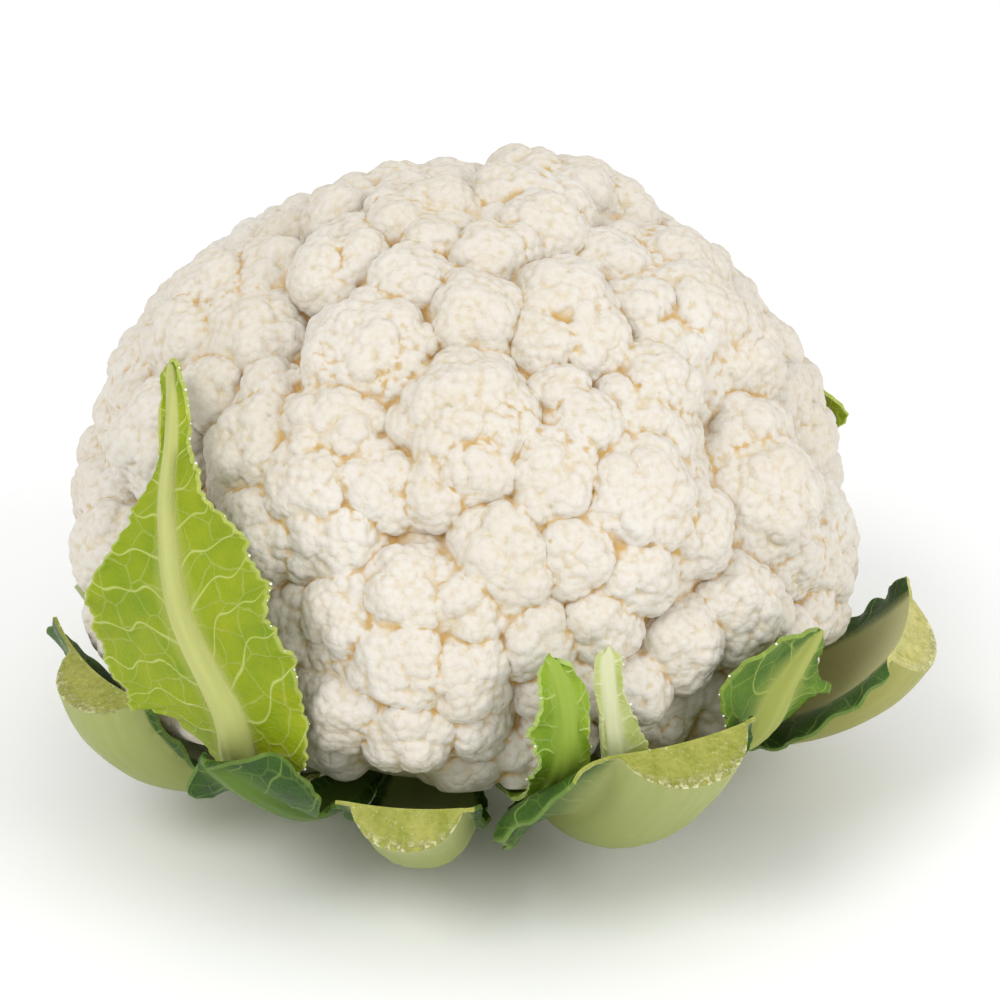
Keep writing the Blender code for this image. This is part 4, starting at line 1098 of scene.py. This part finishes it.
class Finish:
    """A new material and the nodes that shade it."""

    def __init__(self, name):
        self.material = bpy.data.materials.new(name)
        self.material.use_nodes = True
        self.tree = self.material.node_tree
        self.shader = self.tree.nodes["Principled BSDF"]

    def feed(self, socket, value):
        """Another node's output, or a value of its own, on an input."""
        if isinstance(value, bpy.types.NodeSocket):
            self.tree.links.new(value, socket)
        elif socket.type == "RGBA":
            socket.default_value = (*value, 1.0)
        else:
            socket.default_value = value

    def node(self, kind, inputs=None, **settings):
        """The outputs of a new node of this kind, with these settings and inputs."""
        made = self.tree.nodes.new("ShaderNode" + kind)
        for name, value in settings.items():
            setattr(made, name, value)
        for name, value in (inputs or {}).items():
            self.feed(made.inputs[name], value)
        return made.outputs

    def where(self):
        """Places on the piece."""
        return self.node("TexCoord")["Object"]

    def sum(self, operation, *values):
        """These values put together by this operation."""
        return self.node("Math", dict(enumerate(values)), operation=operation)[0]

    def times(self, first, second):
        """One value times another."""
        return self.sum("MULTIPLY", first, second)

    def plus(self, first, second):
        """One value and another."""
        return self.sum("ADD", first, second)

    def ramp(self, factor, *stops):
        """The colours, or the greys, at these places, blended between them."""
        outputs = self.node("ValToRGB", {"Fac": factor})
        elements = outputs[0].node.color_ramp.elements
        elements.remove(elements[-1])
        for number, (place, colour) in enumerate(stops):
            element = elements.new(place) if number else elements[0]
            element.position = place
            element.color = (*(colour if isinstance(colour, tuple) else [colour] * 3), 1.0)
        return outputs["Color"]

    def mix(self, factor, first, second, blend="MIX"):
        """Two colours mixed by a factor."""
        return self.node("Mix", {0: factor, 6: first, 7: second}, data_type="RGBA", blend_type=blend)[2]

    def noise(self, vector, scale, detail=3.0, roughness=0.55):
        """A cloudy pattern, as a value."""
        inputs = {"Vector": vector, "Scale": scale, "Detail": detail, "Roughness": roughness}
        return self.node("TexNoise", inputs)["Fac"]

    def aside(self, vector, scale):
        """A cloudy pattern that moves places aside, as a colour."""
        return self.node("TexNoise", {"Vector": vector, "Scale": scale})["Color"]

    def cells(self, vector, scale, **settings):
        """How far each place is from the middle of its cell, or from its cell's edge."""
        return self.node("TexVoronoi", {"Vector": vector, "Scale": scale}, **settings)["Distance"]

    def value(self, name):
        """A value that the mesh carries."""
        return self.node("Attribute", attribute_name=name)["Fac"]

    def relief(self, height, distance, strength):
        """Fine relief of this height."""
        return self.node("Bump", {"Height": height, "Distance": distance, "Strength": strength})["Normal"]

    def finished(self, **levels):
        """The material, with each of these on the input of that name."""
        for name, value in levels.items():
            self.feed(self.shader.inputs[name.replace("_", " ")], value)
        return self.material


def curd_finish():
    """Matt cream grains, with painted shade in warm ochre down between the florets, fainter in the creases
    between their lobes.
    """
    paint = Finish("curd_cream")
    where = paint.where()
    bent = paint.mix(0.0016, where, paint.aside(where, 240.0), "ADD")
    cells = paint.cells(bent, GRAIN_CELLS)
    cells.node.inputs["Randomness"].default_value = 0.9
    domes = paint.sum("SUBTRACT", 1.0, paint.times(cells, cells))
    between = paint.ramp(cells, (0.46, 0.0), (0.80, 1.0))
    cream = paint.ramp(paint.noise(where, 34.0), (0.32, CURD_PALE), (0.68, CURD_WARM))
    # A patchy mask for the painted shade in the valleys between the grains.
    patchy = paint.ramp(paint.noise(where, 75.0), (0.42, 0.1), (0.66, 1.0))
    uneven = paint.ramp(paint.noise(where, 190.0), (0.38, 0.15), (0.62, 1.0))
    deep = paint.ramp(paint.value("hollow"), (0.16, 0.0), (0.42, 0.5), (0.85, 1.0))
    lobe_line = paint.sum("MULTIPLY_ADD", uneven, 0.55, 0.3)
    floret_line = paint.sum("MULTIPLY_ADD", uneven, 0.6, 0.4)
    # Painted shade, darkening towards warm ochre: between the grains, in small grooves, in the creases
    # between lobes and between florets, and most in the deep hollows.
    for share, colour in (
        (paint.times(paint.times(between, patchy), 0.4), CURD_FAINT_SHADE),
        (paint.times(paint.value("groove"), 0.3), CURD_FAINT_SHADE),
        (paint.times(paint.value("lobe_border"), lobe_line), CURD_FAINT_SHADE),
        (paint.times(paint.value("floret_border"), floret_line), CURD_FLORET_SHADE),
        (paint.times(deep, 0.92), CURD_HOLLOW_SHADE),
    ):
        cream = paint.mix(share, cream, colour)
    rough = paint.sum("MULTIPLY_ADD", paint.noise(where, 210.0, 2.0), 0.14, 0.55)
    fine = paint.plus(domes, paint.times(paint.noise(where, 1500.0), 0.3))
    fine = paint.relief(fine, 0.0005, 0.7)
    return paint.finished(Base_Color=cream, Roughness=rough, Specular_IOR_Level=0.3, Normal=fine)


def vein_line(paint, along, lateral, share):
    """1 on the middle of each side vein, the same lines that the leaf's relief has."""
    run = paint.sum("ABSOLUTE", lateral)
    side = paint.sum("SIGN", lateral)
    bend = paint.plus(paint.times(run, BEND_ACROSS), paint.times(along, BEND_ALONG))
    wave = paint.sum("SUBTRACT", paint.times(run, WAVE_ACROSS), paint.times(along, WAVE_ALONG))
    slant = paint.sum("SUBTRACT", along, paint.times(run, VEIN_SLANT))
    for term in (
        paint.times(paint.times(run, run), VEIN_CURVE),
        paint.times(side, VEIN_SHIFT),
        paint.times(paint.sum("SINE", bend), VEIN_BEND),
        paint.times(paint.sum("SINE", paint.plus(wave, side)), VEIN_WAVE),
    ):
        slant = paint.plus(slant, term)
    off = paint.sum("PINGPONG", slant, 0.5 * VEIN_SPACING)
    return paint.ramp(paint.times(off, paint.plus(share, 0.8)), (0.12, 1.0), (0.42, 0.0))


def leaf_finish(name, rib_colours, hollow_colour, blade_colours, vein_colour, gloss):
    """Leaf skin: a waxy rib, a blade with side veins and a net of fine ones, and a paler edge."""
    paint = Finish(name)
    where = paint.where()
    laid = paint.node("Attribute", attribute_name="laid")["Vector"]
    along, lateral, share = paint.node("SeparateXYZ", {0: laid})
    bent = paint.node(
        "VectorMath", {0: paint.aside(laid, 0.11), 1: (5.0, 5.0, 0.0), 2: laid}, operation="MULTIPLY_ADD"
    )["Vector"]
    flat = {"feature": "DISTANCE_TO_EDGE", "voronoi_dimensions": "2D"}
    net_line = paint.ramp(paint.cells(bent, NET_SCALE, **flat), (0.0, 1.0), (0.05, 0.0))
    fine_line = paint.ramp(paint.cells(laid, FINE_NET_SCALE, **flat), (0.0, 1.0), (0.12, 0.0))
    mottle = paint.noise(where, 90.0, 4.0)
    blade = paint.ramp(mottle, (0.30, blade_colours[0]), (0.70, blade_colours[1]))
    veins = vein_line(paint, along, lateral, share)
    for line, strength in ((fine_line, 0.10), (net_line, 0.4), (veins, 0.85)):
        blade = paint.mix(paint.times(line, strength), blade, vein_colour)
    stripes = paint.node("Mapping", {"Vector": laid, "Scale": (0.04, 0.55, 0.0)})["Vector"]
    rib = paint.ramp(paint.noise(stripes, 1.0, 4.0), (0.12, rib_colours[0]), (0.90, rib_colours[1]))
    rib = paint.mix(paint.times(mottle, 0.3), rib, rib_colours[2])
    rib = paint.mix(paint.times(paint.value("inside"), 0.8), rib, hollow_colour)
    rib = paint.mix(paint.ramp(paint.times(along, 0.01), *RIB_FOOT), rib, rib_colours[0])
    soft, full = BLADE_FADE[name == "leaf_inner_left_skin"]
    on_blade = paint.ramp(share, (0.0, 0.0), (soft, 0.65), (full, 1.0))
    skin = paint.mix(on_blade, rib, blade)
    edge = paint.ramp(share, (0.955, 0.0), (1.0, 1.0))
    skin = paint.mix(paint.times(edge, 0.6), skin, vein_colour)
    relief = paint.sum("MULTIPLY_ADD", net_line, 0.5, paint.times(fine_line, 0.25))
    pores = paint.times(paint.noise(where, 900.0), 0.35)
    return paint.finished(
        Normal=paint.relief(paint.plus(paint.times(relief, on_blade), pores), 0.00035, 0.7),
        Base_Color=skin,
        Roughness=paint.sum("MULTIPLY_ADD", paint.noise(where, 160.0), 0.22, gloss),
        Specular_IOR_Level=0.22,
        Subsurface_Weight=0.15,
        Subsurface_Radius=(0.6, 1.0, 0.3),
        Subsurface_Scale=0.0014,
    )


def cut_finish(name, pale, green):
    """Moist cut flesh: yellow green, mottled and pitted, with small pale dots of painted highlight, torn and
    pale along its lower edge.
    """
    paint = Finish(name)
    where = paint.where()
    mottle = paint.noise(where, 170.0, 5.0, 0.68)
    pits = paint.cells(where, 850.0)
    dots = paint.ramp(pits, (0.10, 1.0), (0.42, 0.0))
    shreds = paint.ramp(paint.noise(where, 620.0, 4.0, 0.7), (0.44, 0.0), (0.56, 1.0))
    torn = paint.times(paint.value("rim"), shreds)
    # Painted highlights: small pale dots that stand in for glints on the wet cut.
    painted_glints = paint.ramp(paint.noise(where, 1000.0, 2.0), (0.67, 0.0), (0.71, 0.5))
    flesh = paint.ramp(mottle, (0.32, green), (0.64, pale))
    flesh = paint.mix(paint.times(dots, 0.3), flesh, CUT_WET)
    flesh = paint.mix(painted_glints, flesh, CUT_TORN_AND_GLINT)
    flesh = paint.mix(paint.times(torn, 0.85), flesh, CUT_TORN_AND_GLINT)
    height = paint.plus(paint.plus(mottle, paint.times(pits, 0.5)), paint.times(torn, 0.8))
    return paint.finished(
        Normal=paint.relief(height, 0.0008, 0.9),
        Base_Color=flesh,
        Roughness=paint.ramp(paint.noise(where, 420.0), (0.38, 0.22), (0.62, 0.6)),
        Specular_IOR_Level=0.35,
        Subsurface_Weight=0.3,
        Subsurface_Radius=(0.8, 1.0, 0.3),
        Subsurface_Scale=0.002,
    )


def dew_finish():
    """Small glossy beads of sap on the teeth of the young leaves, whose pale colour is a painted highlight
    for the glint of clear drops.
    """
    paint = Finish("dew")
    tone = paint.ramp(paint.noise(paint.where(), 600.0, 2.0), (0.35, DEW_GLINT), (0.65, DEW_PALE))
    return paint.finished(Base_Color=tone, Roughness=0.06, Coat_Weight=0.6, Coat_Roughness=0.04)


def stem_finish():
    """Pale green stalk skin with lengthwise streaks."""
    paint = Finish("stem_skin")
    streaks = paint.node("Mapping", {"Vector": paint.where(), "Scale": (1.0, 1.0, 0.12)})["Vector"]
    tone = paint.noise(streaks, 300.0, 4.0)
    skin = paint.ramp(tone, *STEM_COLOURS)
    return paint.finished(Base_Color=skin, Roughness=0.5, Normal=paint.relief(tone, 0.0005, 0.6))


def aimed(thing, target):
    """Turns a lamp or camera to face a place."""
    thing.rotation_euler = (Vector(target) - thing.location).to_track_quat("-Z", "Y").to_euler()


def add_stage():
    """A pale floor, soft light from all round, and two large lamps at the front left and right."""
    scene = bpy.context.scene
    scene.view_settings.view_transform = "Standard"
    scene.view_settings.look = "None"
    world = bpy.data.worlds.new("studio")
    scene.world = world
    world.use_nodes = True
    background = world.node_tree.nodes["Background"]
    background.inputs["Color"].default_value = (1.0, 1.0, 1.0, 1.0)
    background.inputs["Strength"].default_value = WORLD_STRENGTH
    mesh = bmesh.new()
    bmesh.ops.create_grid(mesh, x_segments=1, y_segments=1, size=FLOOR_HALF_WIDTH)
    data = bpy.data.meshes.new("floor")
    mesh.to_mesh(data)
    mesh.free()
    data.materials.append(Finish("pale_floor").finished(Base_Color=FLOOR_COLOUR, Roughness=0.9))
    floor = placed("floor", data)
    floor.location.z = -FLOOR_GAP
    for name, place, size, power in LIGHTS:
        lamp = bpy.data.lights.new(name, "AREA")
        lamp.shape = "DISK"
        lamp.size = size
        lamp.energy = power
        holder = placed(name, lamp)
        holder.location = place
        aimed(holder, HEAD_CENTRE * MM)


def add_camera():
    """The camera, placed so that the head's middle shows where the photograph has it."""
    aside = (IMAGE_SIZE / 2 - HEAD_ACROSS_PIXEL) * PIXEL
    above = (HEAD_DOWN_PIXEL - IMAGE_SIZE / 2) * PIXEL
    aim = HEAD_CENTRE + np.array([aside, 0.0, 0.0]) + FACING_UPWARD * above
    lens = bpy.data.cameras.new("camera")
    lens.sensor_width = SENSOR_WIDTH
    lens.lens = SENSOR_WIDTH * FACING_DISTANCE / (IMAGE_SIZE * PIXEL)
    camera = placed("camera", lens)
    camera.location = (aim + FACING_BACK * FACING_DISTANCE) * MM
    aimed(camera, aim * MM)
    bpy.context.scene.camera = camera


def main():
    """The whole scene: the curd, the leaves, the stem, the stage and the camera."""
    rng = np.random.default_rng(SEED + 1)
    florets, members, lobes = curd_balls()
    points, triangles, normals, wide, crease, groove = fine_curd(florets, lobes, rng)
    creased = np.clip(crease / CREASE_DEPTH, 0.0, 1.0)
    cream = curd_finish()
    # How deep the hollows, grooves and creases between florets and lobes are, carried on the curd to place
    # its painted shade.
    shades = {
        "hollow": np.clip(wide / HOLLOW_DEPTH, 0.0, 1.0),
        "groove": np.clip(groove / GROOVE_DEPTH, 0.0, 1.0),
        "floret_border": creased * np.exp(-((border_gaps(points, members) / BORDER_LINE) ** 2)),
        "lobe_border": creased * np.exp(-((border_gaps(points, lobes) / BORDER_LINE) ** 2)),
    }
    wedges = split_head(points, triangles, CURD_WEDGES)
    for number in range(CURD_WEDGES):
        part = triangles[wedges == number]
        piece = wedge_object(f"curd_part_{number + 1}", points, part, normals, shades, cream)
        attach(piece, "root")
        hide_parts("curd")
    flesh = cut_finish("cut_flesh", *CUT_FLESH)
    dew = dew_finish()
    for name, leaf in LEAVES.items():
        skin = leaf_finish(name + "_skin", *LEAF_COLOURS.get(name, LEAF_COLOURS[leaf.kind]))
        cut = cut_finish(name + "_cut", *CUT_COLOURS[name]) if name in CUT_COLOURS else flesh
        piece = leaf_object(name + "_fine", leaf, (skin, cut, dew), rng)
        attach(piece, "root")
        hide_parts(name)
    stem = stem_object("stem_fine", (stem_finish(), flesh))
    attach(stem, "root")
    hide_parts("stem")
    add_stage()
    add_camera()


main()
